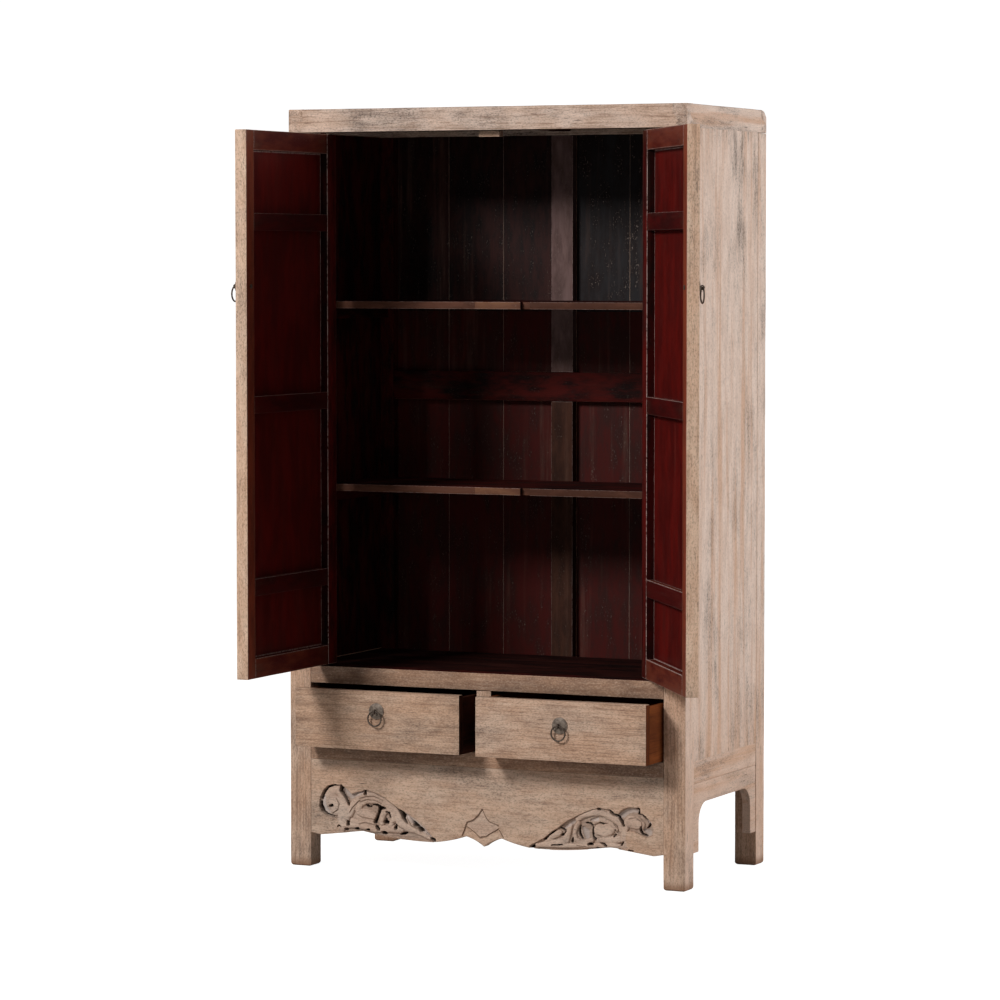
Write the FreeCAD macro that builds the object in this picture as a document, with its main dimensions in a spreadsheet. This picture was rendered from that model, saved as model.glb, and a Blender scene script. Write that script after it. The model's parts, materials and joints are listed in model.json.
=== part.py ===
import FreeCAD, Part
import math
import os
import re

import Sketcher
from FreeCAD import Placement, Rotation, Vector

# A tall two-door cabinet with two drawers and a carved apron, in millimetres. X runs to the right, Y to the
# back and Z up. The origin is on the floor, midway between the four legs. The doors and drawers stand open
# at rest.

SIZES = {
    "cabinet_width": 960,
    "cabinet_depth": 475,
    "cabinet_height": 1700,
    "post_width": 52,
    "post_depth": 50,
    "post_tenon_side": 22,
    "post_tenon_length": 30,
    "post_round": 5,
    "top_frame_height": 52,
    "top_frame_round": 5,
    "top_board_thickness": 16,
    "top_board_drop": 3,
    "top_batten_width": 46,
    "top_batten_height": 24,
    "panel_tongue": 8,
    "rail_tenon_length": 24,
    "rail_tenon_thickness": 14,
    "rail_tenon_shoulder": 6,
    "front_rail_depth": 45,
    "lower_rail_level": 245,
    "lower_rail_height": 35,
    "drawer_opening_height": 137,
    "sill_height": 39,
    "divider_width": 36,
    "apron_thickness": 22,
    "apron_setback": 1.5,
    "apron_level": 78,
    "apron_end_low": 23,
    "apron_end_drop": 4,
    "apron_notch_place": 126,
    "apron_notch_rise": 9,
    "apron_lobe_place": 125,
    "apron_lobe_drop": 5,
    "apron_cusp_place": 43,
    "apron_cusp_rise": 13,
    "apron_tip_drop": 7.5,
    "apron_tip_hollow": 2.5,
    "side_board_thickness": 18,
    "side_board_setback": 1,
    "side_rail_height": 51,
    "side_rail_thickness": 40,
    "side_rail_setback": 0.8,
    "side_apron_thickness": 20,
    "side_arch_rise": 106,
    "side_bracket_width": 32,
    "side_bracket_height": 62,
    "back_rail_thickness": 42,
    "back_rail_inset": 2,
    "back_panel_thickness": 10,
    "back_panel_sink": 24,
    "back_middle_rail_height": 67,
    "back_upper_panel_height": 540,
    "back_muntin_width": 54,
    "floor_thickness": 14,
    "bearer_width": 20,
    "bearer_height": 24,
    "shelf_thickness": 17,
    "shelf_setback": 115,
    "lower_compartment_height": 403,
    "upper_compartment_height": 376,
    "shelf_notch_place": 48,
    "shelf_notch_width": 22,
    "shelf_notch_depth": 12,
    "stop_width": 51,
    "stop_depth": 20,
    "stop_drop": 14,
    "stop_clearance": 0.4,
    "door_thickness": 28,
    "door_side_gap": 2,
    "door_meeting_gap": 2,
    "door_end_gap": 4,
    "hinge_stile_width": 43,
    "hinge_edge_round": 4,
    "meeting_stile_width": 36,
    "door_rail_height": 44,
    "door_panel_thickness": 9,
    "door_panel_sink": 2,
    "batten_height": 38,
    "end_field_height": 134.5,
    "pivot_inset": 28,
    "pivot_depth": 10,
    "pivot_radius": 6,
    "pivot_clearance": 0.05,
    "pivot_reach": 18,
    "pivot_end_gap": 0.3,
    "left_door_opening": 90,
    "right_door_opening": 125,
    "drawer_side_gap": 3,
    "drawer_low_gap": 1.5,
    "drawer_high_gap": 3.5,
    "drawer_front_thickness": 20,
    "drawer_side_thickness": 12,
    "drawer_back_thickness": 12,
    "drawer_bottom_thickness": 8,
    "drawer_bottom_lift": 8,
    "drawer_rear_gap": 12,
    "drawer_side_drop": 6,
    "runner_width": 30,
    "runner_height": 20,
    "runner_clearance": 0.3,
    "guide_height": 26,
    "left_drawer_out": 82,
    "right_drawer_out": 90,
    "left_drawer_pull_height": 88,
    "right_drawer_pull_height": 78,
    "door_pull_height": 848,
    "door_pull_inset": 19,
    "plate_radius": 18,
    "plate_rim": 1.4,
    "plate_dome": 2.2,
    "shank_radius": 1.2,
    "shank_clearance": 0.2,
    "clench_radius": 5,
    "clench_thickness": 1.5,
    "eye_standoff": 6,
    "eye_wire_radius": 1.5,
    "ring_radius": 16.2,
    "ring_wire_radius": 1.8,
    "ring_clearance": 0.5,
}

SIDE_BOARD_COUNT = 4
TOP_BOARD_COUNT = 3
FLOOR_BOARD_COUNT = 3
SIDES = ("left", "right")
UPRIGHT = Vector(0, 0, 1)
SLIGHT_TURN = 1
NEAR = 0.01
QUARTER_BOW = 1 - math.cos(math.radians(45))

# Places that several pieces share, as formulas of the sizes.
HALF_WIDTH = "(cabinet_width / 2)"
FRONT = "(-cabinet_depth / 2)"
BACK = "(cabinet_depth / 2)"
POST_INNER = "(cabinet_width / 2 - post_width)"
FRONT_POST_BACK = "(-cabinet_depth / 2 + post_depth)"
BACK_POST_FRONT = "(cabinet_depth / 2 - post_depth)"
TOP_UNDERSIDE = "(cabinet_height - top_frame_height)"
LOWER_RAIL_TOP = "(lower_rail_level + lower_rail_height)"
SILL_UNDERSIDE = f"({LOWER_RAIL_TOP} + drawer_opening_height)"
SILL_TOP = f"({SILL_UNDERSIDE} + sill_height)"
FRONT_RAIL_BACK = f"({FRONT} + front_rail_depth)"
SIDE_BOARD_OUTER = "(cabinet_width / 2 - side_board_setback)"
SIDE_BOARD_INNER = "(cabinet_width / 2 - side_board_setback - side_board_thickness)"
SIDE_RAIL_UNDERSIDE = f"({LOWER_RAIL_TOP} - side_rail_height)"
BACK_RAIL_FRONT = f"({BACK_POST_FRONT} + back_rail_inset)"
BACK_RAIL_BACK = f"({BACK_RAIL_FRONT} + back_rail_thickness)"
BACK_MIDDLE_TOP = f"({TOP_UNDERSIDE} - back_upper_panel_height)"
BACK_MIDDLE_UNDERSIDE = f"({BACK_MIDDLE_TOP} - back_middle_rail_height)"
LOWER_SHELF_TOP = f"({SILL_TOP} + lower_compartment_height)"
UPPER_SHELF_TOP = f"({TOP_UNDERSIDE} - upper_compartment_height)"
DOOR_BOTTOM = f"({SILL_TOP} + door_end_gap)"
DOOR_TOP = f"({TOP_UNDERSIDE} - door_end_gap)"
DOOR_FREE_EDGE = f"({POST_INNER} - door_side_gap - pivot_inset - door_meeting_gap / 2)"
DOOR_OUTER = "(-pivot_depth)"
DOOR_INNER = "(door_thickness - pivot_depth)"
PIVOT_X = f"({POST_INNER} - door_side_gap - pivot_inset)"
PIVOT_Y = f"({FRONT} + pivot_depth)"
DRAWER_BOTTOM = f"({LOWER_RAIL_TOP} + drawer_low_gap)"
DRAWER_TOP = f"({SILL_UNDERSIDE} - drawer_high_gap)"
DRAWER_NEAR = "(divider_width / 2 + drawer_side_gap)"
DRAWER_FAR = f"({POST_INNER} - drawer_side_gap)"
DRAWER_REAR = f"({BACK_RAIL_FRONT} - drawer_rear_gap)"
RUNNER_TOP = f"({DRAWER_BOTTOM} - runner_clearance)"

doc = FreeCAD.newDocument("Cabinet")
sheet = doc.addObject("Spreadsheet::Sheet", "sizes")
for row, (alias, size) in enumerate(SIZES.items(), start=1):
    sheet.set(f"A{row}", alias)
    sheet.set(f"B{row}", str(size))
    sheet.setAlias(f"B{row}", alias)
doc.recompute()

nodes = []
WORD = re.compile(r"[a-z_]+")


def linked(formula):
    """The formula with each size's name pointed at its cell in the sheet."""
    return WORD.sub(lambda word: f"sizes.{word[0]}" if word[0] in SIZES else word[0], formula)


def number(formula):
    """What the formula comes to with the sheet's present sizes."""
    return float(sheet.evalExpression(linked(formula)))


def bind(feature, prop, formula):
    """Let a property follow a formula of the sizes."""
    feature.setExpression(prop, linked(formula))


def place(feature, point, frame=None):
    """Stand a feature at a point of the cabinet, or of a turned frame (X, Y and turn about Z, all formulas)."""
    x, y, z = point
    if frame is None:
        bind(feature, ".Placement.Base.x", x)
        bind(feature, ".Placement.Base.y", y)
    else:
        frame_x, frame_y, turn = frame
        feature.Placement = Placement(Vector(), Rotation(UPRIGHT, SLIGHT_TURN))
        bind(feature, ".Placement.Base.x", f"{frame_x} + ({x}) * cos({turn}) - ({y}) * sin({turn})")
        bind(feature, ".Placement.Base.y", f"{frame_y} + ({x}) * sin({turn}) + ({y}) * cos({turn})")
        bind(feature, ".Placement.Rotation.Angle", turn)
    bind(feature, ".Placement.Base.z", z)
    return feature


def node(feature, label):
    """Keep a feature as a finished piece of the cabinet."""
    feature.Label = label
    nodes.append(feature)
    return feature


def block(name, x, y, z, frame=None):
    """A square-edged piece between a low and a high formula along each axis."""
    solid = doc.addObject("Part::Box", name)
    for prop, (low, high) in zip(("Length", "Width", "Height"), (x, y, z)):
        bind(solid, prop, f"({high}) - ({low})")
    return place(solid, (x[0], y[0], z[0]), frame)


def rod(name, radius, length, point, frame=None):
    """An upright round piece that stands on a point."""
    solid = doc.addObject("Part::Cylinder", name)
    bind(solid, "Radius", radius)
    bind(solid, "Height", length)
    return place(solid, point, frame)


def joined(name, pieces):
    """Several overlapping shapes as one solid."""
    whole = doc.addObject("Part::MultiFuse", name)
    whole.Shapes = pieces
    whole.Refine = True
    return whole


def together(name, pieces):
    """Several separate solids in one feature."""
    bundle = doc.addObject("Part::Compound", name)
    bundle.Links = pieces
    return bundle


def without(name, base, tools):
    """A piece with the room for its neighbours cut out of it."""
    cut = doc.addObject("Part::Cut", name)
    cut.Base = base
    cut.Tool = tools[0] if len(tools) == 1 else together(f"{name}_room", tools)
    return cut


def mirrored(side, near, far):
    """The X span between two distances from the cabinet's middle, on one side of it."""
    return (near, far) if side == "right" else (f"-({far})", f"-({near})")


def outward(side, formula):
    """A distance from the middle of the cabinet as an X place on one side of it."""
    return formula if side == "right" else f"-({formula})"


def sketch_on(body, role, name):
    """An empty sketch on one of the body's own origin planes."""
    sketch = body.newObject("Sketcher::SketchObject", name)
    plane = next(feature for feature in body.Origin.OriginFeatures if feature.Role == role)
    sketch.AttachmentSupport = [(plane, "")]
    sketch.MapMode = "FlatFace"
    return sketch


def pin_point(sketch, edge, end, x, y):
    """Hold an end of a sketch edge at two formulas from the sketch's origin."""
    for kind, formula in (("DistanceX", x), ("DistanceY", y)):
        index = sketch.addConstraint(Sketcher.Constraint(kind, -1, 1, edge, end, number(formula)))
        bind(sketch, f"Constraints[{index}]", formula)


def draw_outline(sketch, corners):
    """A closed outline through corners (x, y, bulge): a bulge bows the edge to the next corner to its right."""
    ends = []
    for corner, following in zip(corners, corners[1:] + corners[:1]):
        start = Vector(number(corner[0]), number(corner[1]), 0)
        finish = Vector(number(following[0]), number(following[1]), 0)
        if len(corner) == 2:
            ends.append((sketch.addGeometry(Part.LineSegment(start, finish)), 1, 2))
            continue
        bulge = number(corner[2])
        chord = finish - start
        right = Vector(chord.y, -chord.x, 0).normalize()
        middle = (start + finish) / 2 + right * bulge
        edge = sketch.addGeometry(Part.Arc(start, middle, finish))
        ends.append((edge, 1, 2) if bulge > 0 else (edge, 2, 1))
        span = f"(pow(({following[0]}) - ({corner[0]}); 2) + pow(({following[1]}) - ({corner[1]}); 2))"
        radius = f"({span} / 4 + pow({corner[2]}; 2)) / (2 * abs({corner[2]}))"
        index = sketch.addConstraint(Sketcher.Constraint("Radius", edge, number(radius)))
        bind(sketch, f"Constraints[{index}]", radius)
    for (edge, start, finish), (next_edge, next_start, _), corner in zip(ends, ends[1:] + ends[:1], corners):
        sketch.addConstraint(Sketcher.Constraint("Coincident", edge, finish, next_edge, next_start))
        pin_point(sketch, edge, start, corner[0], corner[1])


def draw_circle(sketch, x, y, radius):
    """A circle with its centre at two formulas from the sketch's origin."""
    centre = Vector(number(x), number(y), 0)
    edge = sketch.addGeometry(Part.Circle(centre, UPRIGHT, number(radius)))
    index = sketch.addConstraint(Sketcher.Constraint("Radius", edge, number(radius)))
    bind(sketch, f"Constraints[{index}]", radius)
    pin_point(sketch, edge, 3, x, y)


def pad(body, sketch, name, length, against_normal=False):
    """Thicken a sketch along its plane's normal, or the other way."""
    solid = body.newObject("PartDesign::Pad", name)
    solid.Profile = sketch
    bind(solid, "Length", length)
    solid.Reversed = against_normal
    return solid


def revolve(body, sketch, name, axis):
    """Turn a sketch once round its own H_Axis or V_Axis."""
    solid = body.newObject("PartDesign::Revolution", name)
    solid.Profile = sketch
    solid.ReferenceAxis = (sketch, [axis])
    return solid


def shaped_board(name, role, corners, thickness, point, frame=None, to_the_back=False):
    """A board cut to an outline on one of its origin planes and stood at a point."""
    body = doc.addObject("PartDesign::Body", name)
    sketch = sketch_on(body, role, f"{name}_outline")
    draw_outline(sketch, corners)
    pad(body, sketch, f"{name}_thickness", thickness, to_the_back)
    return place(body, point, frame)


def round_edges(body, chosen, radius, name):
    """Round the edges of a body's last feature whose middles pass a test."""
    doc.recompute()
    base = body.Tip
    numbered = enumerate(base.Shape.Edges, start=1)
    fillet = body.newObject("PartDesign::Fillet", name)
    fillet.Base = (base, [f"Edge{index}" for index, edge in numbered if chosen(edge.CenterOfMass)])
    bind(fillet, "Radius", radius)


def rail(name, x, y, z, along, tenon_middle):
    """A rail with a shouldered tenon at each end, thin across the rail and centred on tenon_middle."""
    spans = {"x": x, "y": y, "z": z}
    across = "y" if along == "x" else "x"
    low, high = spans[along]
    tenon = dict(spans)
    tenon[along] = (f"{low} - rail_tenon_length", f"{high} + rail_tenon_length")
    tenon[across] = (f"{tenon_middle} - rail_tenon_thickness / 2", f"{tenon_middle} + rail_tenon_thickness / 2")
    tenon["z"] = (f"{z[0]} + rail_tenon_shoulder", f"{z[1]} - rail_tenon_shoulder")
    tenons = block(f"{name}_tenons", tenon["x"], tenon["y"], tenon["z"])
    return joined(name, [block(f"{name}_bar", x, y, z), tenons])


def boards(name, count, x, y, z, across):
    """Boards laid side by side to fill a space, divided evenly across X or Y."""
    pieces = []
    for index in range(count):
        spans = {"x": x, "y": y, "z": z}
        low, high = spans[across]
        step = f"(({high}) - ({low})) / {count}"
        spans[across] = (f"{low} + {step} * {index}", f"{low} + {step} * {index + 1}")
        pieces.append(block(f"{name}_{index + 1}", spans["x"], spans["y"], spans["z"]))
    return pieces


def post_block(side, end):
    """A square post with its outer corner rounded and a stub tenon on top."""
    name = f"{end}_{side}_post"
    body = doc.addObject("PartDesign::Body", f"{name}_blank")
    outline = sketch_on(body, "XY_Plane", f"{name}_section")
    x = mirrored(side, POST_INNER, HALF_WIDTH)
    y = (FRONT, FRONT_POST_BACK) if end == "front" else (BACK_POST_FRONT, BACK)
    draw_outline(outline, [(x[0], y[0]), (x[1], y[0]), (x[1], y[1]), (x[0], y[1])])
    pad(body, outline, f"{name}_length", TOP_UNDERSIDE)
    outer_x = number(outward(side, HALF_WIDTH))
    outer_y = number(FRONT if end == "front" else BACK)
    round_edges(
        body,
        lambda at: abs(at.x - outer_x) + abs(at.y - outer_y) < NEAR,
        "post_round",
        f"{name}_round",
    )
    tenon = block(
        f"{name}_tenon",
        (f"({x[0]} + {x[1]}) / 2 - post_tenon_side / 2", f"({x[0]} + {x[1]}) / 2 + post_tenon_side / 2"),
        (f"({y[0]} + {y[1]}) / 2 - post_tenon_side / 2", f"({y[0]} + {y[1]}) / 2 + post_tenon_side / 2"),
        (TOP_UNDERSIDE, f"{TOP_UNDERSIDE} + post_tenon_length"),
    )
    return joined(f"{name}_stock", [body, tenon])


def mitred_rail(name, long_side, sign):
    """One rail of the top frame, mitred to its neighbours; sign is -1 at the front or left and 1 opposite."""
    outer_x, outer_y = HALF_WIDTH, BACK
    inner_x, inner_y = POST_INNER, BACK_POST_FRONT
    if long_side:
        corners = [
            (f"-{outer_x}", f"{sign} * {outer_y}"),
            (outer_x, f"{sign} * {outer_y}"),
            (inner_x, f"{sign} * {inner_y}"),
            (f"-{inner_x}", f"{sign} * {inner_y}"),
        ]
    else:
        corners = [
            (f"{sign} * {outer_x}", f"-{outer_y}"),
            (f"{sign} * {outer_x}", outer_y),
            (f"{sign} * {inner_x}", inner_y),
            (f"{sign} * {inner_x}", f"-{inner_y}"),
        ]
    body = shaped_board(f"{name}_blank", "XY_Plane", corners, "top_frame_height", ("0", "0", TOP_UNDERSIDE))
    height = number("top_frame_height")
    reach = number(outer_y if long_side else outer_x)

    def on_outer_top(at):
        return abs(abs(at.y if long_side else at.x) - reach) < NEAR and abs(at.z - height) < NEAR

    round_edges(body, on_outer_top, "top_frame_round", f"{name}_round")
    return body


# The front: sill over the drawers, rail under them, divider between them and the carved apron below.
front_tenon = f"({FRONT} + front_rail_depth / 2)"
front_depth = (FRONT, FRONT_RAIL_BACK)
front_span = (f"-{POST_INNER}", POST_INNER)
sill_stock = rail("sill_stock", front_span, front_depth, (SILL_UNDERSIDE, SILL_TOP), "x", front_tenon)
lower_rail_stock = rail(
    "lower_rail_stock", front_span, front_depth, ("lower_rail_level", LOWER_RAIL_TOP), "x", front_tenon
)
divider = joined(
    "divider",
    [
        block(
            "divider_bar",
            ("-divider_width / 2", "divider_width / 2"),
            front_depth,
            (LOWER_RAIL_TOP, SILL_UNDERSIDE),
        ),
        block(
            "divider_tenons",
            ("-divider_width / 2 + rail_tenon_shoulder", "divider_width / 2 - rail_tenon_shoulder"),
            (f"{front_tenon} - rail_tenon_thickness / 2", f"{front_tenon} + rail_tenon_thickness / 2"),
            (f"{LOWER_RAIL_TOP} - rail_tenon_thickness", f"{SILL_UNDERSIDE} + rail_tenon_thickness"),
        ),
    ],
)
node(divider, "drawer_divider")

end_low_x = f"({POST_INNER} - apron_end_low)"
notch_x = f"({POST_INNER} - apron_notch_place)"
end_low_z = "(apron_level - apron_end_drop)"
notch_z = "(apron_level + apron_notch_rise)"
lobe_z = "(apron_level - apron_lobe_drop)"
cusp_z = "(apron_level + apron_cusp_rise)"
tip_z = "(apron_level - apron_tip_drop)"
apron = shaped_board(
    "apron",
    "XZ_Plane",
    [
        (f"-{POST_INNER}", "lower_rail_level"),
        (f"-{POST_INNER}", "apron_level"),
        (f"-{end_low_x}", end_low_z),
        (f"-{notch_x}", notch_z, "apron_end_drop"),
        ("-apron_lobe_place", lobe_z, "apron_lobe_drop / 2"),
        ("-apron_cusp_place", cusp_z, "-apron_tip_hollow"),
        ("0", tip_z, "-apron_tip_hollow"),
        ("apron_cusp_place", cusp_z, "apron_lobe_drop / 2"),
        ("apron_lobe_place", lobe_z, "apron_end_drop"),
        (notch_x, notch_z),
        (end_low_x, end_low_z),
        (POST_INNER, "apron_level"),
        (POST_INNER, "lower_rail_level"),
    ],
    "apron_thickness",
    ("0", f"{FRONT} + apron_setback", "0"),
    to_the_back=True,
)
node(apron, "front_apron")

# The back: two rails, a muntin above and below the middle rail, and four panels let into grooves.
back_tenon = f"({BACK_RAIL_FRONT} + back_rail_thickness / 2)"
back_depth = (BACK_RAIL_FRONT, BACK_RAIL_BACK)
back_lower_stock = rail(
    "back_lower_stock", front_span, back_depth, (SIDE_RAIL_UNDERSIDE, LOWER_RAIL_TOP), "x", back_tenon
)
back_middle_stock = rail(
    "back_middle_stock", front_span, back_depth, (BACK_MIDDLE_UNDERSIDE, BACK_MIDDLE_TOP), "x", back_tenon
)
back_fields = {"lower": (LOWER_RAIL_TOP, BACK_MIDDLE_UNDERSIDE), "upper": (BACK_MIDDLE_TOP, TOP_UNDERSIDE)}
panel_front = f"({BACK_RAIL_FRONT} + back_panel_sink)"
panel_pieces = []
muntin_stock = []
for field, (low, high) in back_fields.items():
    muntin_span = ("-back_muntin_width / 2", "back_muntin_width / 2")
    muntin_stock.append(block(f"{field}_muntin_stock", muntin_span, back_depth, (low, high)))
    for side in SIDES:
        panel_pieces.append(
            block(
                f"{field}_{side}_panel",
                mirrored(side, "back_muntin_width / 2 - panel_tongue", f"{POST_INNER} + panel_tongue"),
                (panel_front, f"{panel_front} + back_panel_thickness"),
                (f"{low} - panel_tongue", f"{high} + panel_tongue"),
            )
        )
back_panels = node(together("back_panel_set", panel_pieces), "back_panels")
node(
    together("muntins", [without(f"{stock.Name}_grooved", stock, [back_panels]) for stock in muntin_stock]),
    "back_muntins",
)
node(without("back_middle", back_middle_stock, [back_panels]), "back_middle_rail")
node(without("back_lower", back_lower_stock, [back_panels]), "back_lower_rail")

# The sides: a lower rail, an arched apron under it, and upright boards let into the posts and rails.
side_span = (FRONT_POST_BACK, BACK_POST_FRONT)
arch_top = "(apron_level + side_arch_rise)"
bracket_top = "(apron_level + side_bracket_height)"
side_rail_stock = {}
side_boards = {}
for side in SIDES:
    rail_outer = "(cabinet_width / 2 - side_rail_setback)"
    rail_x = mirrored(side, f"{rail_outer} - side_rail_thickness", rail_outer)
    side_rail_stock[side] = rail(
        f"{side}_side_rail_stock",
        rail_x,
        side_span,
        (SIDE_RAIL_UNDERSIDE, LOWER_RAIL_TOP),
        "y",
        outward(side, f"({rail_outer} - side_rail_thickness / 2)"),
    )
    near_leg = f"({FRONT_POST_BACK} + side_bracket_width)"
    far_leg = f"({BACK_POST_FRONT} - side_bracket_width)"
    apron_outer = f"({rail_outer} - side_rail_setback)"
    apron_x = mirrored(side, f"{apron_outer} - side_apron_thickness", apron_outer)
    shoulder = f"({arch_top} - {bracket_top})"
    corner_bow = f"-{shoulder} * {QUARTER_BOW:.4f}"
    side_apron = shaped_board(
        f"{side}_arch",
        "YZ_Plane",
        [
            (FRONT_POST_BACK, SIDE_RAIL_UNDERSIDE),
            (FRONT_POST_BACK, "apron_level"),
            (near_leg, "apron_level"),
            (near_leg, bracket_top, corner_bow),
            (f"{near_leg} + {shoulder}", arch_top),
            (f"{far_leg} - {shoulder}", arch_top, corner_bow),
            (far_leg, bracket_top),
            (far_leg, "apron_level"),
            (BACK_POST_FRONT, "apron_level"),
            (BACK_POST_FRONT, SIDE_RAIL_UNDERSIDE),
        ],
        "side_apron_thickness",
        (apron_x[0], "0", "0"),
    )
    node(side_apron, f"{side}_side_apron")
    side_boards[side] = node(
        together(
            f"{side}_boards",
            boards(
                f"{side}_board",
                SIDE_BOARD_COUNT,
                mirrored(side, SIDE_BOARD_INNER, SIDE_BOARD_OUTER),
                (f"{FRONT_POST_BACK} - panel_tongue", f"{BACK_POST_FRONT} + panel_tongue"),
                (f"{LOWER_RAIL_TOP} - panel_tongue", f"{TOP_UNDERSIDE} + panel_tongue"),
                "y",
            ),
        ),
        f"{side}_side_boards",
    )
node(
    together(
        "side_rails",
        [
            without(
                f"{side}_side_rail",
                side_rail_stock[side],
                [side_boards[side], lower_rail_stock, back_lower_stock],
            )
            for side in SIDES
        ],
    ),
    "side_lower_rails",
)

# The posts, with a mortise for every rail and a groove for every board that reaches into them.
posts = []
for side in SIDES:
    for end, rails in (
        ("front", [sill_stock, lower_rail_stock]),
        ("back", [back_lower_stock, back_middle_stock, back_panels]),
    ):
        tools = rails + [side_rail_stock[side], side_boards[side]]
        post = without(f"{end}_{side}_mortised", post_block(side, end), tools)
        posts.append(node(post, f"{end}_{side}_post"))

# The top: a mitred frame on the posts' tenons, boards let into it and a batten under them.
top_boards = node(
    together(
        "top_board_set",
        boards(
            "top_board",
            TOP_BOARD_COUNT,
            (f"-{POST_INNER} - panel_tongue", f"{POST_INNER} + panel_tongue"),
            (f"{FRONT_POST_BACK} - panel_tongue", f"{BACK_POST_FRONT} + panel_tongue"),
            ("cabinet_height - top_board_drop - top_board_thickness", "cabinet_height - top_board_drop"),
            "y",
        ),
    ),
    "top_boards",
)
board_underside = "(cabinet_height - top_board_drop - top_board_thickness)"
node(
    block(
        "cross_batten",
        ("-top_batten_width / 2", "top_batten_width / 2"),
        side_span,
        (f"{board_underside} - top_batten_height", board_underside),
    ),
    "top_batten",
)


def socket(side):
    """The round socket over or under a door's pivot pins, through the sill and the top frame alike."""
    return rod(
        f"{side}_pivot_socket",
        "pivot_radius + pivot_clearance",
        f"{DOOR_TOP} - {DOOR_BOTTOM} + 2 * pivot_reach + 2 * pivot_end_gap",
        (outward(side, PIVOT_X), PIVOT_Y, f"{DOOR_BOTTOM} - pivot_reach - pivot_end_gap"),
    )


sockets = [socket(side) for side in SIDES]
node(
    without("top_front", mitred_rail("top_front", True, -1), posts[:1] + posts[2:3] + [top_boards] + sockets),
    "top_front_rail",
)
node(
    without("top_back", mitred_rail("top_back", True, 1), posts[1:2] + posts[3:] + [top_boards, back_panels]),
    "top_back_rail",
)
node(
    together(
        "top_sides",
        [
            without(
                f"top_{side}", mitred_rail(f"top_{side}", False, sign), pair + [top_boards, side_boards[side]]
            )
            for side, sign, pair in (("left", -1, posts[:2]), ("right", 1, posts[2:]))
        ],
    ),
    "top_side_rails",
)
node(without("sill", sill_stock, [divider] + sockets), "door_sill")
node(without("lower_rail_mortised", lower_rail_stock, [divider]), "lower_rail")

# Inside: floor and shelves on bearers, runners with guides under the drawers, and the doors' stop.
inside_span = (f"-{SIDE_BOARD_INNER}", SIDE_BOARD_INNER)
floor_y = (FRONT_RAIL_BACK, BACK_POST_FRONT)
floor_stock = boards(
    "floor_board", FLOOR_BOARD_COUNT, inside_span, floor_y, (f"{SILL_TOP} - floor_thickness", SILL_TOP), "y"
)
floor_pieces = [without("floor_board_notched", floor_stock[0], posts[:1] + posts[2:3])] + floor_stock[1:]
node(together("floor_set", floor_pieces), "floor_boards")
shelf_front = f"({FRONT} + shelf_setback)"
levels = {"lower": LOWER_SHELF_TOP, "upper": UPPER_SHELF_TOP}
for level, shelf_top in levels.items():
    shelf_z = (f"{shelf_top} - shelf_thickness", shelf_top)
    board = block(f"{level}_shelf_board", inside_span, (shelf_front, BACK_POST_FRONT), shelf_z)
    notch = block(
        f"{level}_shelf_notch",
        ("shelf_notch_place - shelf_notch_width / 2", "shelf_notch_place + shelf_notch_width / 2"),
        (shelf_front, f"{shelf_front} + shelf_notch_depth"),
        shelf_z,
    )
    node(without(f"{level}_shelf_notched", board, [notch]), f"{level}_shelf")
bearers = []
for side in SIDES:
    bearer_x = mirrored(side, f"{SIDE_BOARD_INNER} - bearer_width", SIDE_BOARD_INNER)
    undersides = {
        "floor": (f"{SILL_TOP} - floor_thickness", FRONT_POST_BACK),
        "lower": (f"{LOWER_SHELF_TOP} - shelf_thickness", shelf_front),
        "upper": (f"{UPPER_SHELF_TOP} - shelf_thickness", shelf_front),
    }
    for level, (underside, bearer_front) in undersides.items():
        bearers.append(
            block(
                f"{side}_{level}_bearer",
                bearer_x,
                (bearer_front, BACK_POST_FRONT),
                (f"{underside} - bearer_height", underside),
            )
        )
node(together("bearer_set", bearers), "side_bearers")
runners = []
runner_y = (FRONT_RAIL_BACK, BACK_RAIL_FRONT)
runner_z = (f"{RUNNER_TOP} - runner_height", RUNNER_TOP)
guide_z = (f"{RUNNER_TOP} - runner_height", f"{RUNNER_TOP} + guide_height")
for side in SIDES:
    ledge = block(
        f"{side}_runner_ledge", mirrored(side, f"{POST_INNER} - runner_width", POST_INNER), runner_y, runner_z
    )
    guide = block(
        f"{side}_runner_guide",
        mirrored(side, POST_INNER, SIDE_BOARD_INNER),
        (FRONT_POST_BACK, BACK_POST_FRONT),
        guide_z,
    )
    runner_stock = joined(f"{side}_runner_stock", [ledge, guide])
    runners.append(without(f"{side}_runner", runner_stock, [side_rail_stock[side]]))
middle_ledge = block(
    "middle_runner_ledge",
    ("-divider_width / 2 - runner_width", "divider_width / 2 + runner_width"),
    runner_y,
    runner_z,
)
middle_guide = block("middle_runner_guide", ("-divider_width / 2", "divider_width / 2"), runner_y, guide_z)
runners.append(joined("middle_runner", [middle_ledge, middle_guide]))
node(together("runner_set", runners), "drawer_runners")
stop_front = f"({FRONT} + door_thickness + stop_clearance)"
node(
    block(
        "stop_block",
        ("-stop_width / 2", "stop_width / 2"),
        (stop_front, f"{stop_front} + stop_depth"),
        (f"{TOP_UNDERSIDE} - stop_drop", TOP_UNDERSIDE),
    ),
    "door_stop",
)


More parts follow.
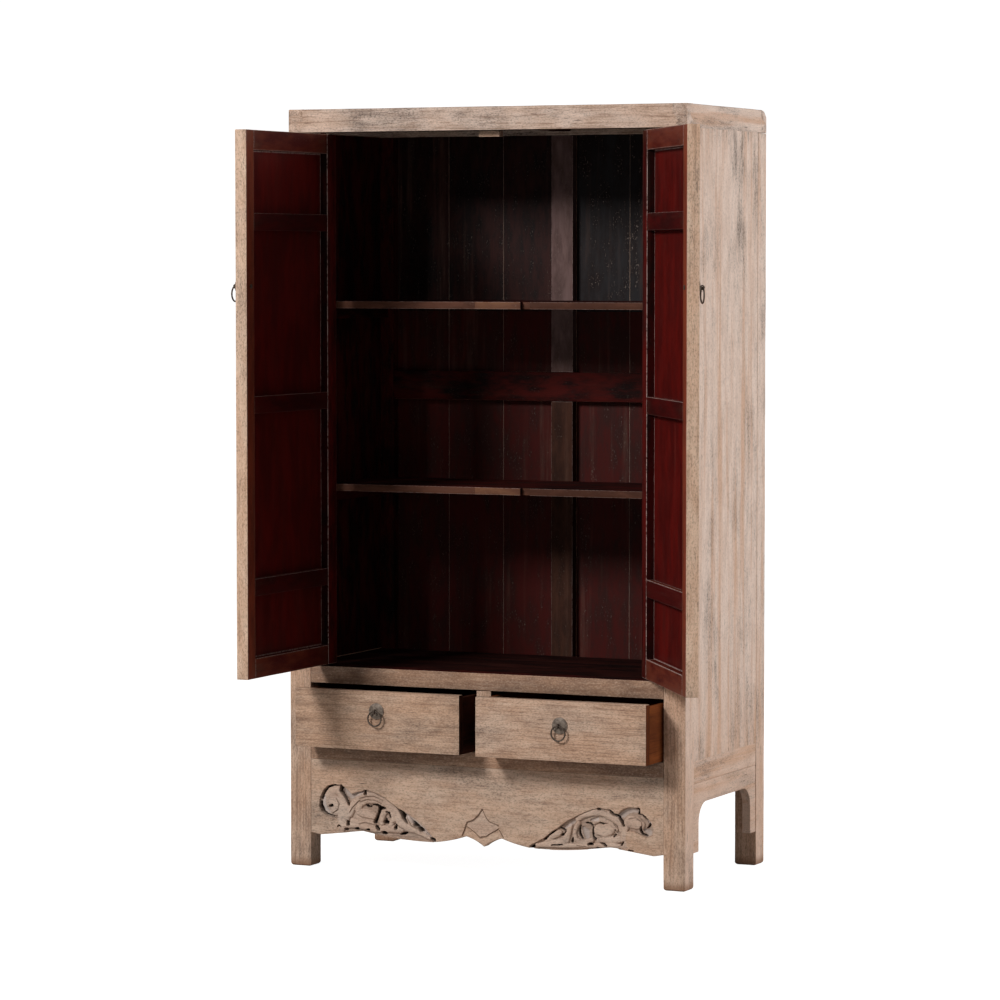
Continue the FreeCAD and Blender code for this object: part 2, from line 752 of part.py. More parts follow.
def pull(name, frame, point, wood_thickness):
    """An iron ring pull on a face: plate, eye staple clenched inside, and a ring that hangs from the eye."""
    x, y, z = point
    plate = doc.addObject("PartDesign::Body", f"{name}_plate_body")
    profile = sketch_on(plate, "XY_Plane", f"{name}_plate_profile")
    bore = "(shank_radius + shank_clearance)"
    draw_outline(
        profile,
        [
            (bore, "0"),
            (bore, "-plate_rim - plate_dome", "plate_dome / 4"),
            ("plate_radius", "-plate_rim"),
            ("plate_radius", "0"),
        ],
    )
    revolve(plate, profile, f"{name}_plate_turned", "V_Axis")
    node(place(plate, (x, y, z), frame), f"{name}_plate")

    eye_radius = "(ring_wire_radius + ring_clearance + eye_wire_radius)"
    staple = doc.addObject("PartDesign::Body", f"{name}_staple_body")
    wire = sketch_on(staple, "XY_Plane", f"{name}_eye_wire")
    draw_circle(wire, "0", f"-{eye_radius}", "eye_wire_radius")
    revolve(staple, wire, f"{name}_eye", "H_Axis")
    shank = sketch_on(staple, "XZ_Plane", f"{name}_shank_section")
    draw_circle(shank, "0", "0", "shank_radius")
    eye_reach = "(plate_rim + plate_dome + eye_standoff)"
    shank.AttachmentOffset = Placement(Vector(0, 0, -number(eye_radius)), Rotation())
    bind(shank, "AttachmentOffset.Base.z", f"-{eye_radius}")
    shank_length = f"{eye_reach} - {eye_radius} + {wood_thickness} + clench_thickness"
    pad(staple, shank, f"{name}_shank", shank_length, True)
    clench = sketch_on(staple, "XZ_Plane", f"{name}_clench_section")
    draw_circle(clench, "0", "0", "clench_radius")
    bind(clench, "AttachmentOffset.Base.z", f"-({eye_reach} + {wood_thickness})")
    pad(staple, clench, f"{name}_clench", "clench_thickness", True)
    eye_y = f"{y} - {eye_reach}"
    node(place(staple, (x, eye_y, z), frame), f"{name}_staple")

    ring = doc.addObject("PartDesign::Body", f"{name}_ring_body")
    section = sketch_on(ring, "XY_Plane", f"{name}_ring_wire")
    draw_circle(section, "ring_radius", "0", "ring_wire_radius")
    revolve(ring, section, f"{name}_ring_turned", "V_Axis")
    node(place(ring, (x, eye_y, f"{z} - ring_radius"), frame), f"{name}_ring")


def staple_hole(name, frame, point, wood_thickness):
    """The room for a staple's shank through the wood behind its plate."""
    x, y, z = point
    body = doc.addObject("PartDesign::Body", f"{name}_hole_body")
    section = sketch_on(body, "XZ_Plane", f"{name}_hole_section")
    draw_circle(section, "0", "0", "shank_radius + shank_clearance")
    pad(body, section, f"{name}_hole", wood_thickness, True)
    return place(body, (x, y, z), frame)


def hung_door(side):
    """One door, framed and battened, turned open about its pivot pins."""
    turn = "-left_door_opening" if side == "left" else "right_door_opening"
    frame = (outward(side, PIVOT_X), PIVOT_Y, turn)
    name = f"{side}_door"

    def along(near, far):
        """A span measured from the pivot towards the free edge."""
        return (near, far) if side == "left" else (f"-({far})", f"-({near})")

    hinge_edge = "(-pivot_inset)"
    hinge_inner = "(hinge_stile_width - pivot_inset)"
    free_inner = f"({DOOR_FREE_EDGE} - meeting_stile_width)"
    depth = (DOOR_OUTER, DOOR_INNER)
    height = (DOOR_BOTTOM, DOOR_TOP)
    panel_y = (f"{DOOR_OUTER} + door_panel_sink", f"{DOOR_OUTER} + door_panel_sink + door_panel_thickness")
    panel = block(
        f"{name}_panel_board",
        along(f"{hinge_inner} - panel_tongue", f"{free_inner} + panel_tongue"),
        panel_y,
        (f"{DOOR_BOTTOM} + door_rail_height - panel_tongue", f"{DOOR_TOP} - door_rail_height + panel_tongue"),
        frame,
    )

    stile_x = along(hinge_edge, hinge_inner)
    section = [
        (stile_x[0], DOOR_OUTER),
        (stile_x[1], DOOR_OUTER),
        (stile_x[1], DOOR_INNER),
        (stile_x[0], DOOR_INNER),
    ]
    door_height = f"{DOOR_TOP} - {DOOR_BOTTOM}"
    stile = shaped_board(
        f"{name}_hinge_blank", "XY_Plane", section, door_height, ("0", "0", DOOR_BOTTOM), frame
    )
    edge_x = number(stile_x[0] if side == "left" else stile_x[1])
    edge_y = number(DOOR_OUTER)
    round_edges(
        stile,
        lambda at: abs(at.x - edge_x) + abs(at.y - edge_y) < NEAR,
        "hinge_edge_round",
        f"{name}_hinge_round",
    )
    pins = rod(
        f"{name}_pins",
        "pivot_radius",
        f"{DOOR_TOP} - {DOOR_BOTTOM} + 2 * pivot_reach",
        ("0", "0", f"{DOOR_BOTTOM} - pivot_reach"),
        frame,
    )
    tenon_y = (f"{DOOR_INNER} - 2 * rail_tenon_shoulder", f"{DOOR_INNER} - rail_tenon_shoulder")
    rail_pieces = []
    batten_pieces = []
    rows = {"bottom": DOOR_BOTTOM, "top": f"({DOOR_TOP} - door_rail_height)"}
    for row, low in rows.items():
        bar = block(
            f"{name}_{row}_bar", along(hinge_inner, free_inner), depth, (low, f"{low} + door_rail_height"), frame
        )
        tenons = block(
            f"{name}_{row}_tenons",
            along(f"{hinge_inner} - panel_tongue", f"{free_inner} + panel_tongue"),
            tenon_y,
            (f"{low} + rail_tenon_shoulder", f"{low} + door_rail_height - rail_tenon_shoulder"),
            frame,
        )
        rail_pieces.append(without(f"{name}_{row}_rail", joined(f"{name}_{row}_stock", [bar, tenons]), [panel]))
    first = f"({DOOR_BOTTOM} + door_rail_height + end_field_height)"
    last = f"({DOOR_TOP} - door_rail_height - end_field_height - batten_height)"
    for index, low in enumerate((first, f"(({first} + {last}) / 2)", last)):
        bar = block(
            f"{name}_batten_bar_{index}",
            along(hinge_inner, free_inner),
            (panel_y[1], DOOR_INNER),
            (low, f"{low} + batten_height"),
            frame,
        )
        tenons = block(
            f"{name}_batten_tenons_{index}",
            along(f"{hinge_inner} - panel_tongue", f"{free_inner} + panel_tongue"),
            tenon_y,
            (f"{low} + rail_tenon_shoulder", f"{low} + batten_height - rail_tenon_shoulder"),
            frame,
        )
        batten_pieces.append(joined(f"{name}_batten_{index}", [bar, tenons]))
    let_in = [panel] + rail_pieces + batten_pieces

    pull_x = along(f"{DOOR_FREE_EDGE} - door_pull_inset", DOOR_FREE_EDGE)[0 if side == "left" else 1]
    pull_point = (pull_x, DOOR_OUTER, f"{DOOR_BOTTOM} + door_pull_height")
    meeting = block(f"{name}_meeting_blank", along(free_inner, DOOR_FREE_EDGE), depth, height, frame)
    hole = staple_hole(f"{name}_pull", frame, pull_point, "door_thickness")
    node(without(f"{name}_hinge", joined(f"{name}_hinge_stock", [stile, pins]), let_in), f"{name}_hinge_stile")
    node(without(f"{name}_meeting", meeting, let_in + [hole]), f"{name}_meeting_stile")
    node(together(f"{name}_rail_set", rail_pieces), f"{name}_rails")
    node(together(f"{name}_batten_set", batten_pieces), f"{name}_battens")
    node(panel, f"{name}_panel")
    pull(f"{name}_pull", frame, pull_point, "door_thickness")


def sliding_drawer(side):
    """One drawer, drawn out along its runners."""
    name = f"{side}_drawer"
    frame_y = f"({FRONT} - {side}_drawer_out)"
    rear = f"({DRAWER_REAR} - {side}_drawer_out)"
    front_back = f"({frame_y} + drawer_front_thickness)"
    box_top = f"({DRAWER_TOP} - drawer_side_drop)"
    floor_low = f"({DRAWER_BOTTOM} + drawer_bottom_lift)"
    floor_z = (floor_low, f"{floor_low} + drawer_bottom_thickness")
    inner = (f"({DRAWER_NEAR} + drawer_side_thickness)", f"({DRAWER_FAR} - drawer_side_thickness)")
    floor = block(
        f"{name}_floor",
        mirrored(side, f"{inner[0]} - drawer_side_thickness / 2", f"{inner[1]} + drawer_side_thickness / 2"),
        (f"{front_back} - drawer_side_thickness / 2", f"{rear} - drawer_back_thickness / 2"),
        floor_z,
    )
    pull_x = outward(side, f"(({DRAWER_NEAR} + {DRAWER_FAR}) / 2)")
    pull_point = (pull_x, frame_y, f"{DRAWER_BOTTOM} + {side}_drawer_pull_height")
    hole = staple_hole(f"{name}_pull", None, pull_point, "drawer_front_thickness")
    front = block(
        f"{name}_front_board",
        mirrored(side, DRAWER_NEAR, DRAWER_FAR),
        (frame_y, front_back),
        (DRAWER_BOTTOM, DRAWER_TOP),
    )
    walls = []
    for place_name, near, far in (("inner", DRAWER_NEAR, inner[0]), ("outer", inner[1], DRAWER_FAR)):
        wall = block(
            f"{name}_{place_name}_wall", mirrored(side, near, far), (front_back, rear), (DRAWER_BOTTOM, box_top)
        )
        walls.append(without(f"{name}_{place_name}_side", wall, [floor]))
    back = block(
        f"{name}_back_board",
        mirrored(side, inner[0], inner[1]),
        (f"{rear} - drawer_back_thickness", rear),
        (DRAWER_BOTTOM, box_top),
    )
    node(without(f"{name}_front_grooved", front, [floor, hole]), f"{name}_front")
    node(together(f"{name}_side_pair", walls), f"{name}_sides")
    node(without(f"{name}_back_grooved", back, [floor]), f"{name}_back")
    node(floor, f"{name}_bottom")
    pull(f"{name}_pull", None, pull_point, "drawer_front_thickness")


for side in SIDES:
    hung_door(side)
    sliding_drawer(side)

doc.recompute()
failed = [feature.Label for feature in doc.Objects if {"Invalid", "Error"} & set(feature.State)]
failed += [piece.Label for piece in nodes if piece.Shape.isNull() or not piece.Shape.isValid()]
if failed:
    raise RuntimeError("these pieces can't be built: " + ", ".join(failed))

os.makedirs("parts", exist_ok=True)
for piece in nodes:
    piece.Shape.exportStep(f"parts/{piece.Label}.step")
    print(f"{piece.Label}: {len(piece.Shape.Solids)} solids, {piece.Shape.Volume / 1000:.1f} cm3")
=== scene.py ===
import json
import math
import zlib

import bmesh
import bpy
import numpy as np
from mathutils import Matrix, Vector


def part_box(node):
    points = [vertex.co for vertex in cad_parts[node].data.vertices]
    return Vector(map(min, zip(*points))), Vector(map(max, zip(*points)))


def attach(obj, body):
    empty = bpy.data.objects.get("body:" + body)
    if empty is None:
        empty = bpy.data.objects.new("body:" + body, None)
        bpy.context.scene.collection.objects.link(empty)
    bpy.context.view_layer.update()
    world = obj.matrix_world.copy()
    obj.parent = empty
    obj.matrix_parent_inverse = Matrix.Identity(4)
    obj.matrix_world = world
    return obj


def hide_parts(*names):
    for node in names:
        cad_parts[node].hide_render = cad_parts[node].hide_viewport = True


bl_info = {
    "name": "Bleached elm cabinet",
    "version": (1, 0, 0),
    "blender": (4, 5, 0),
    "location": "View3D > Sidebar > Cabinet",
    "description": "Dresses a two-door cabinet in bleached elm, old lacquer and iron",
    "category": "Object",
}

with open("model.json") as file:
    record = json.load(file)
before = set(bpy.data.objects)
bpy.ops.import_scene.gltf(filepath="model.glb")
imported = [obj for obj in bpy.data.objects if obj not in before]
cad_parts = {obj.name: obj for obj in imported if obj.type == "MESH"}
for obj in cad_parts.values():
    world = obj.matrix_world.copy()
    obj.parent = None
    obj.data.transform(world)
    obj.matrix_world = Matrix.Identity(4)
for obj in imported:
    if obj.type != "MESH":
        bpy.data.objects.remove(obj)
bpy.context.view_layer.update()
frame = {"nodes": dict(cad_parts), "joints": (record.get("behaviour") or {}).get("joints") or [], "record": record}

X, Y, Z = 0, 1, 2
SIDES = {"left": -1, "right": 1}
ENDS = {"front": -1, "back": 1}
FACING = 0.6
MERGE = 0.00001
TOUCH = 0.0001
SMOOTH_ANGLE = math.radians(25)
CARVED_ANGLE = math.radians(50)
BEVEL_ANGLE = math.radians(40)
FLAT_ANGLE = math.radians(1)
SEEDS = 1009
SLOTS = {row["node"]: row["material_slot"] for row in frame["record"]["subparts"]}


def tone(red, green, blue):
    """A screen colour, each part from 0 to 255, as the linear colour that shaders mix."""
    shares = (red / 255, green / 255, blue / 255)
    return tuple(
        share / 12.92 if share <= 0.04045 else ((share + 0.055) / 1.055) ** 2.4 for share in shares
    )


def length(name, description, default):
    """A length that a user can change."""
    return bpy.props.FloatProperty(
        name=name, description=description, default=default, unit="LENGTH", precision=4
    )


def colour(name, description, red, green, blue):
    """A colour that a user can change."""
    return bpy.props.FloatVectorProperty(
        name=name, description=description, default=tone(red, green, blue), subtype="COLOR", min=0, max=1
    )


class CabinetSizes(bpy.types.PropertyGroup):
    edge_softness: length("Edge softness", "How far wear has rounded the arrises of the boards", 0.0014)
    joint_softness: length("Joint softness", "How far boards that lie side by side are rounded", 0.00006)
    top_softness: length("Top softness", "How far the top's frame is rounded", 0.004)
    foot_softness: length("Foot softness", "How far the feet are rounded off", 0.007)
    planing_depth: length("Planing depth", "How deep the hand-planed faces dip", 0.0009)
    planing_patch: length("Planing patch", "How wide one dip of the plane is", 0.07)
    grain_step: length("Cut length", "Distance between the cuts along a board", 0.03)
    cross_step: length("Cut width", "Distance between the cuts across a board", 0.022)
    closed_lap: length("Closed lap", "How far boards of a closed surface reach into their neighbours", 0.0014)
    rail_softness: length("Rail softness", "How far the lower arrises of the top's frame are rounded", 0.0005)
    corner_reach: length("Corner reach", "How far along the top's frame that wear can be seen", 0.05)
    corner_wear: length("Corner wear", "How far the back corners of the top are worn down", 0.004)
    seam: length("Seam", "Open joint between two boards that lie side by side", 0.0)
    panel_seam: length("Panel seam", "Open joint between the boards of a lacquered panel", 0.0005)
    panel_lap: length("Panel lap", "How far a door's panel reaches into its frame", 0.001)
    carving_step: length("Carving step", "Distance between the points of the carved face", 0.0012)
    carving_ground: length("Carving ground", "How deep the ground between the scrolls is sunk", 0.006)
    carving_hole: length("Carving hole", "How deep the pierced holes look", 0.019)
    carving_arris: length("Carving arris", "How far the apron's lower edge is rounded", 0.003)
    notch_width: length("Notch width", "Width of the notch in a shelf's front edge", 0.022)
    notch_depth: length("Notch depth", "Depth of the notch in a shelf's front edge", 0.012)
    notch_place: length("Notch place", "Distance of the notch from the cabinet's middle", 0.048)


class CabinetColours(bpy.types.PropertyGroup):
    elm_light: colour("Elm, light", "Pale wood between the fibres", 224, 192, 168)
    elm_mid: colour("Elm, middle", "Wood along the fibres", 192, 160, 138)
    elm_dark: colour("Elm, dark", "Late wood and open pores", 140, 106, 85)
    elm_warm: colour("Elm, warm", "Wood that has kept some of its old colour", 212, 163, 128)
    elm_grey: colour("Elm, grey", "Weathered patches and old dirt", 104, 92, 85)
    elm_worn: colour("Elm, worn", "Rubbed arrises", 226, 200, 178)
    side_light: colour("Side, light", "Pale wood of the sides", 244, 222, 208)
    side_mid: colour("Side, middle", "Wood along the fibres of the sides", 228, 204, 189)
    top_light: colour("Top, light", "Greyed wood of the top", 234, 210, 194)
    top_mid: colour("Top, middle", "Wood along the fibres of the top", 196, 171, 154)
    edge_light: colour("Door edge, light", "Bare wood on the edges of the doors", 240, 208, 182)
    edge_mid: colour("Door edge, middle", "Wood along the fibres of the doors' edges", 214, 178, 152)
    # The soiled elm is darker partly as painted shade on the sill and the rail under the drawers.
    soiled_light: colour("Soiled elm, light", "Wood that hands and dirt have browned", 182, 146, 121)
    soiled_mid: colour("Soiled elm, middle", "Darker grain of the browned wood", 138, 106, 87)
    # Pale dust in the carving's cuts, and painted light on the carved zone and its slopes.
    pale_dust_and_light: colour("Limed", "Pale dust in the shallow cuts of the carving", 216, 204, 198)
    # Dark of the cracks, and painted shade with dirt in the carving's holes and cuts.
    recess_dark: colour("Recess", "Dirt in the carving's hollows", 46, 32, 24)
    foot_brown: colour("Foot", "Damp stain on the feet", 150, 108, 80)
    red_light: colour("Red lacquer, light", "Lacquer where it has kept its colour", 98, 17, 13)
    # Also the kept colour of the shaded red wall, where it paints shade.
    red_dark: colour("Red lacquer, dark", "Lacquer where it has gone dark", 52, 9, 8)
    dark_lacquer: colour("Dark lacquer", "Old lacquer inside the cabinet", 26, 12, 11)
    dark_red: colour("Dark lacquer, red", "Red that shows through the lacquer inside", 76, 20, 16)
    red_mid: colour("Red lacquer, middle", "Lacquer of the panels where it has dulled", 74, 12, 10)
    dark_blue: colour("Dark lacquer, cold", "Blackened lacquer of the upper right panel", 38, 35, 37)
    lacquer_brown: colour("Brown lacquer", "Lacquer worn thin over brown wood", 100, 64, 50)
    lacquer_deep: colour("Deep brown", "Brown lacquer in its darker patches", 76, 47, 36)
    muntin_dark: colour("Muntin dark", "Brown lacquer of the lower muntin in its darker patches", 54, 33, 26)
    panel_brown: colour("Panel brown", "Browned lacquer of the upper back", 56, 25, 21)
    stile_warm: colour("Stile warm", "Lacquer rubbed thin by hands on the doors' meeting stiles", 134, 60, 39)
    stile_brown: colour("Stile brown", "Red lacquer browned by hands on the doors' frames", 108, 46, 31)
    smudged_light: colour("Smudged light", "Bleached wood that hands have soiled", 214, 180, 154)
    smudged_mid: colour("Smudged mid", "Soiled wood in its darker grain", 178, 146, 123)
    apron_light: colour("Apron light", "Bleached wood of the apron", 228, 198, 174)
    apron_mid: colour("Apron mid", "Bleached wood of the apron in its darker grain", 200, 168, 145)
    line_dust: colour("Line dust", "Dust and bare wood along the lacquered arrises", 226, 200, 192)
    streak: colour("Streak", "Runs where old water has greyed the lacquer", 112, 82, 70)
    scuff: colour("Scuff", "Pale scratches and dust on the lacquer", 176, 158, 146)
    bare_brown: colour("Bare brown", "Wood where the lacquer is rubbed through", 128, 88, 64)
    rubbed_grey: colour("Rubbed grey", "Greyed wood where the lacquer has worn away", 126, 100, 96)
    rubbed_dark: colour("Rubbed dark", "Greyed wood that has kept some lacquer", 92, 70, 66)
    drawer_brown: colour("Drawer brown", "Stained wood of the drawer boxes", 126, 68, 34)
    drawer_mid: colour("Drawer middle", "Stain in the darker grain", 92, 47, 24)
    drawer_dark: colour("Drawer dark", "Stain that has gone dark", 66, 33, 20)
    iron_dark: colour("Iron, dark", "Iron in the hollows", 70, 57, 48)
    iron_mid: colour("Iron, middle", "Iron of the plates", 104, 91, 80)
    iron_worn: colour("Iron, worn", "Iron where hands have rubbed it", 146, 131, 118)
    floor_white: colour("Floor", "The studio floor", 190, 188, 186)


class CabinetStudio(bpy.types.PropertyGroup):
    camera_place: bpy.props.FloatVectorProperty(
        name="Camera place",
        description="Where the camera stands",
        default=(3.747, -8.332, 1.367),
        subtype="TRANSLATION",
        unit="LENGTH",
    )
    camera_turn: bpy.props.FloatProperty(
        name="Camera turn",
        description="How far the camera looks to the left of straight back",
        default=math.radians(24.607),
        subtype="ANGLE",
        unit="ROTATION",
    )
    camera_tilt: bpy.props.FloatProperty(
        name="Camera tilt",
        description="How far the camera looks down",
        default=math.radians(3.394),
        subtype="ANGLE",
        unit="ROTATION",
    )
    lens: bpy.props.FloatProperty(
        name="Lens", description="Focal length on a 36 mm sensor", default=146.4, unit="CAMERA"
    )
    key_power: bpy.props.FloatProperty(
        name="Key light", description="Softbox in front, to the upper left", default=235.0, unit="POWER"
    )
    fill_power: bpy.props.FloatProperty(
        name="Fill light", description="Softbox on the cabinet's right side", default=135.0, unit="POWER"
    )
    sky: bpy.props.FloatProperty(name="Sky", description="Even light from all around", default=0.2, min=0)
    backdrop: bpy.props.FloatProperty(
        name="Backdrop",
        description="How much lighter the camera sees the floor and backdrop",
        default=0.96,
        min=0,
    )


def sizes():
    """The sizes in the sidebar."""
    return bpy.context.scene.cabinet_sizes


def shade(name):
    """One of the sidebar's colours, with full cover."""
    return (*getattr(bpy.context.scene.cabinet_colours, name), 1)


# Shader building: nodes with their inputs set or linked in one call.
def node(tree, kind, inputs=None, **settings):
    """Add a shader node; inputs are values, or sockets to link from."""
    made = tree.nodes.new(kind)
    for name, value in settings.items():
        setattr(made, name, value)
    for socket, value in (inputs or {}).items():
        if isinstance(value, bpy.types.NodeSocket):
            tree.links.new(value, made.inputs[socket])
        else:
            made.inputs[socket].default_value = value
    return made


def calc(tree, operation, first, second=0.0, clamp=False):
    """A sum, product or other function of two values."""
    values = {0: first, 1: second}
    return node(tree, "ShaderNodeMath", values, operation=operation, use_clamp=clamp).outputs[0]


def times(tree, first, second):
    """The product of two values."""
    return calc(tree, "MULTIPLY", first, second)


def step(tree, value, low, high):
    """A soft step from 0 at low to 1 at high."""
    limits = {"Value": value, "From Min": low, "From Max": high}
    return node(tree, "ShaderNodeMapRange", limits, interpolation_type="SMOOTHSTEP").outputs["Result"]


def mixed(tree, share, first, second):
    """Two colours mixed by a share; the mix node keeps its colours at sockets of their own."""
    inputs = {0: share, 6: first, 7: second}
    return node(tree, "ShaderNodeMix", inputs, data_type="RGBA").outputs[2]


def layered(tree, base, layers):
    """Colours laid over a base one after another; a layer is a mask, its strength and a colour's name."""
    for mask, strength, name in layers:
        base = mixed(tree, times(tree, mask, strength), base, shade(name))
    return base


def cloud(tree, place, stretch, detail, roughness=0.55):
    """Noise stretched along the axes; stretch is in repeats per metre."""
    scaled = node(tree, "ShaderNodeVectorMath", {0: place, 1: stretch}, operation="MULTIPLY").outputs[0]
    inputs = {"Vector": scaled, "Scale": 1.0, "Detail": detail, "Roughness": roughness}
    return node(tree, "ShaderNodeTexNoise", inputs).outputs["Fac"]


def new_group(name, inputs, outputs):
    """An empty shader group with named number inputs and outputs."""
    tree = bpy.data.node_groups.new(name, "ShaderNodeTree")
    for label, default in inputs.items():
        socket = tree.interface.new_socket(label, in_out="INPUT", socket_type="NodeSocketFloat")
        socket.default_value = default
    for label in outputs:
        tree.interface.new_socket(label, in_out="OUTPUT", socket_type="NodeSocketFloat")
    return tree, tree.nodes.new("NodeGroupInput").outputs, tree.nodes.new("NodeGroupOutput").inputs


# The wood's figure: each pattern's repeats per metre along, across and into the board, detail and roughness.
FIGURE = {
    "Fibre": ((13, 310, 310), 4, 0.66),
    "Pores": ((40, 620, 620), 2, 0.55),
    "Specks": ((190, 360, 360), 3, 0.65),
    "Cracks": ((26, 330, 330), 1, 0.55),
    "Patch": ((4.5, 13, 13), 4, 0.6),
    "Tint": ((14, 46, 46), 5, 0.68),
    "Streak": ((11, 60, 60), 5, 0.74),
    "Run": ((1.6, 40, 40), 3, 0.6),
}
RAGGED_EDGE = ((60, 90, 90), 4, 0.7)
RAGGED_END = ((16, 40, 40), 4, 0.7)
# Growth bands: radians per metre across the board, and the patterns that bend them with how far each does.
BAND_TURNS = 640.0
BAND_BENDS = ((((0.9, 10, 10), 2, 0.5), 34.0), (((1.4, 55, 55), 2, 0.5), 16.0))
SEED_SHIFT = {"X": 41.0, "Y": 17.0, "Z": 1.0}


def board_figure():
    """What every board shows: fibres and pores along its grain, growth bands, patches and worn arrises."""
    name = "board figure"
    if name in bpy.data.node_groups:
        return bpy.data.node_groups[name]
    reaches = {"Edge Reach": 0.006, "End Reach": 0.09}
    tree, given, result = new_group(name, reaches, (*FIGURE, "Bands", "Arris", "Edge", "End"))
    place = node(tree, "ShaderNodeAttribute", attribute_name="board_place").outputs["Vector"]
    half = node(tree, "ShaderNodeAttribute", attribute_name="board_half").outputs["Vector"]
    seed = node(tree, "ShaderNodeAttribute", attribute_name="board_seed").outputs["Fac"]
    shift = {axis: times(tree, seed, far) for axis, far in SEED_SHIFT.items()}
    apart = node(tree, "ShaderNodeCombineXYZ", shift).outputs[0]
    own = node(tree, "ShaderNodeVectorMath", {0: place, 1: apart}, operation="ADD").outputs[0]
    for label, pattern in FIGURE.items():
        tree.links.new(cloud(tree, own, *pattern), result[label])
    turns = times(tree, node(tree, "ShaderNodeSeparateXYZ", {0: own}).outputs["Y"], BAND_TURNS)
    for pattern, bend in BAND_BENDS:
        turns = calc(tree, "ADD", turns, times(tree, cloud(tree, own, *pattern), bend))
    wave = calc(tree, "ADD", times(tree, calc(tree, "SINE", turns), 0.5), 0.5)
    tree.links.new(wave, result["Bands"])
    size = node(tree, "ShaderNodeVectorMath", {0: place}, operation="ABSOLUTE").outputs[0]
    inset = node(tree, "ShaderNodeVectorMath", {0: half, 1: size}, operation="SUBTRACT").outputs[0]
    inward = node(tree, "ShaderNodeSeparateXYZ", {0: inset}).outputs
    nearer = calc(tree, "MINIMUM", inward["X"], inward["Y"])
    farther = calc(tree, "MAXIMUM", inward["X"], inward["Y"])
    arris = calc(tree, "MAXIMUM", nearer, calc(tree, "MINIMUM", farther, inward["Z"]))
    tree.links.new(arris, result["Arris"])
    for label, distance, pattern in (("Edge", arris, RAGGED_EDGE), ("End", inward["X"], RAGGED_END)):
        reach = given[f"{label} Reach"]
        ragged = times(tree, cloud(tree, own, *pattern), reach)
        away = step(tree, calc(tree, "ADD", distance, ragged), 0.0, reach)
        tree.links.new(calc(tree, "SUBTRACT", 1.0, away), result[label])
    return tree


def new_material(name, roughness, specular):
    """An empty material with its main shader; returns the material, its tree and the shader's inputs."""
    material = bpy.data.materials.new(name)
    material.use_nodes = True
    tree = material.node_tree
    shader = tree.nodes["Principled BSDF"]
    shader.inputs["Roughness"].default_value = roughness
    shader.inputs["Specular IOR Level"].default_value = specular
    return material, tree, shader.inputs


def raise_surface(tree, shader, height, depth, strength):
    """Let a height in 0 to 1 catch the light as a surface that deep."""
    bump = node(tree, "ShaderNodeBump", {"Height": height, "Distance": depth, "Strength": strength})
    tree.links.new(bump.outputs["Normal"], shader["Normal"])


def bleached(name, light, mid, warm, grain, greyness, banding=0.0, speckled=1.0, worn=0.4):
    """Stripped and bleached elm: fine dark grain, grey smudges, rubbed arrises, dirt with painted shade in the
    carving's hollows and dust with painted light on its cuts.
    """
    material, tree, shader = new_material(name, roughness=0.82, specular=0.2)
    figure = node(tree, "ShaderNodeGroup", node_tree=board_figure()).outputs
    place = node(tree, "ShaderNodeTexCoord").outputs["Object"]
    height = node(tree, "ShaderNodeSeparateXYZ", {0: place}).outputs["Z"]
    speckle = figure["Specks"]
    pores = step(tree, figure["Pores"], 0.55, 0.72)
    late_wood = times(tree, step(tree, figure["Bands"], 0.8, 1.0), step(tree, figure["Tint"], 0.36, 0.62))
    soft = step(tree, figure["Patch"], 0.48, 0.74)
    joint = times(tree, figure["End"], step(tree, figure["Streak"], 0.36, 0.66))
    smudge = times(tree, calc(tree, "MAXIMUM", soft, joint), step(tree, figure["Streak"], 0.28, 0.64))
    raised = calc(tree, "ADD", 0.7, times(tree, step(tree, height, 1.1, 1.64), 0.7))
    grime = calc(tree, "MULTIPLY", times(tree, smudge, raised), greyness, clamp=True)
    dotted = times(tree, step(tree, speckle, 0.48, 0.62), calc(tree, "ADD", grime, 0.2 * speckled))
    # The carving's dust attribute also paints light on the carved zone and its slopes.
    dust = node(tree, "ShaderNodeAttribute", attribute_name="carved_dust_and_light").outputs["Fac"]
    # The carving's dirt attribute paints shade in the holes and cuts, with some dirt.
    dirt = node(tree, "ShaderNodeAttribute", attribute_name="carved_dirt_and_shade").outputs["Fac"]
    wet = calc(tree, "ADD", height, times(tree, pores, 0.008))
    damp = calc(tree, "SUBTRACT", 1.0, step(tree, wet, 0.004, 0.026))
    layers = (
        (step(tree, figure["Patch"], 0.6, 0.34), warm, "elm_warm"),
        (step(tree, figure["Run"], 0.46, 0.66), banding, "elm_warm"),
        (step(tree, speckle, 0.5, 0.7), 0.42 * speckled, "elm_dark"),
        (step(tree, speckle, 0.5, 0.32), 0.42 * speckled, "elm_worn"),
        (step(tree, figure["Fibre"], 0.46, 0.7), 0.3 * grain, "elm_dark"),
        (step(tree, figure["Fibre"], 0.5, 0.3), 0.25 * grain, "elm_worn"),
        (late_wood, 0.6 * grain * (1 - banding), "elm_dark"),
        (pores, 0.5 * grain, "elm_dark"),
        (step(tree, height, 0.55, 0.15), 0.6 * banding, "elm_warm"),
        (grime, 0.5, "elm_grey"),
        (dotted, 0.8, "elm_grey"),
        (step(tree, figure["Cracks"], 0.72, 0.76), 0.6, "recess_dark"),
        (figure["Edge"], worn, "elm_worn"),
        # Pale dust and painted light on the carving.
        (dust, 0.6, "pale_dust_and_light"),
        # Painted shade and dirt in the carving's cuts; painted shade alone in its holes.
        (dirt, 1.0, "recess_dark"),
        (damp, 0.7, "foot_brown"),
    )
    base = mixed(tree, step(tree, figure["Tint"], 0.32, 0.68), shade(light), shade(mid))
    tree.links.new(layered(tree, base, layers), shader["Base Color"])
    open_grain = calc(tree, "SUBTRACT", figure["Fibre"], times(tree, pores, 0.5))
    raise_surface(tree, shader, open_grain, depth=0.001, strength=0.35)
    return material


# How much of its sheen a lacquer keeps, and the roughness at which none is left.
SHEEN, DULL = 0.4, 0.8
LACQUER_END_REACH = 0.16


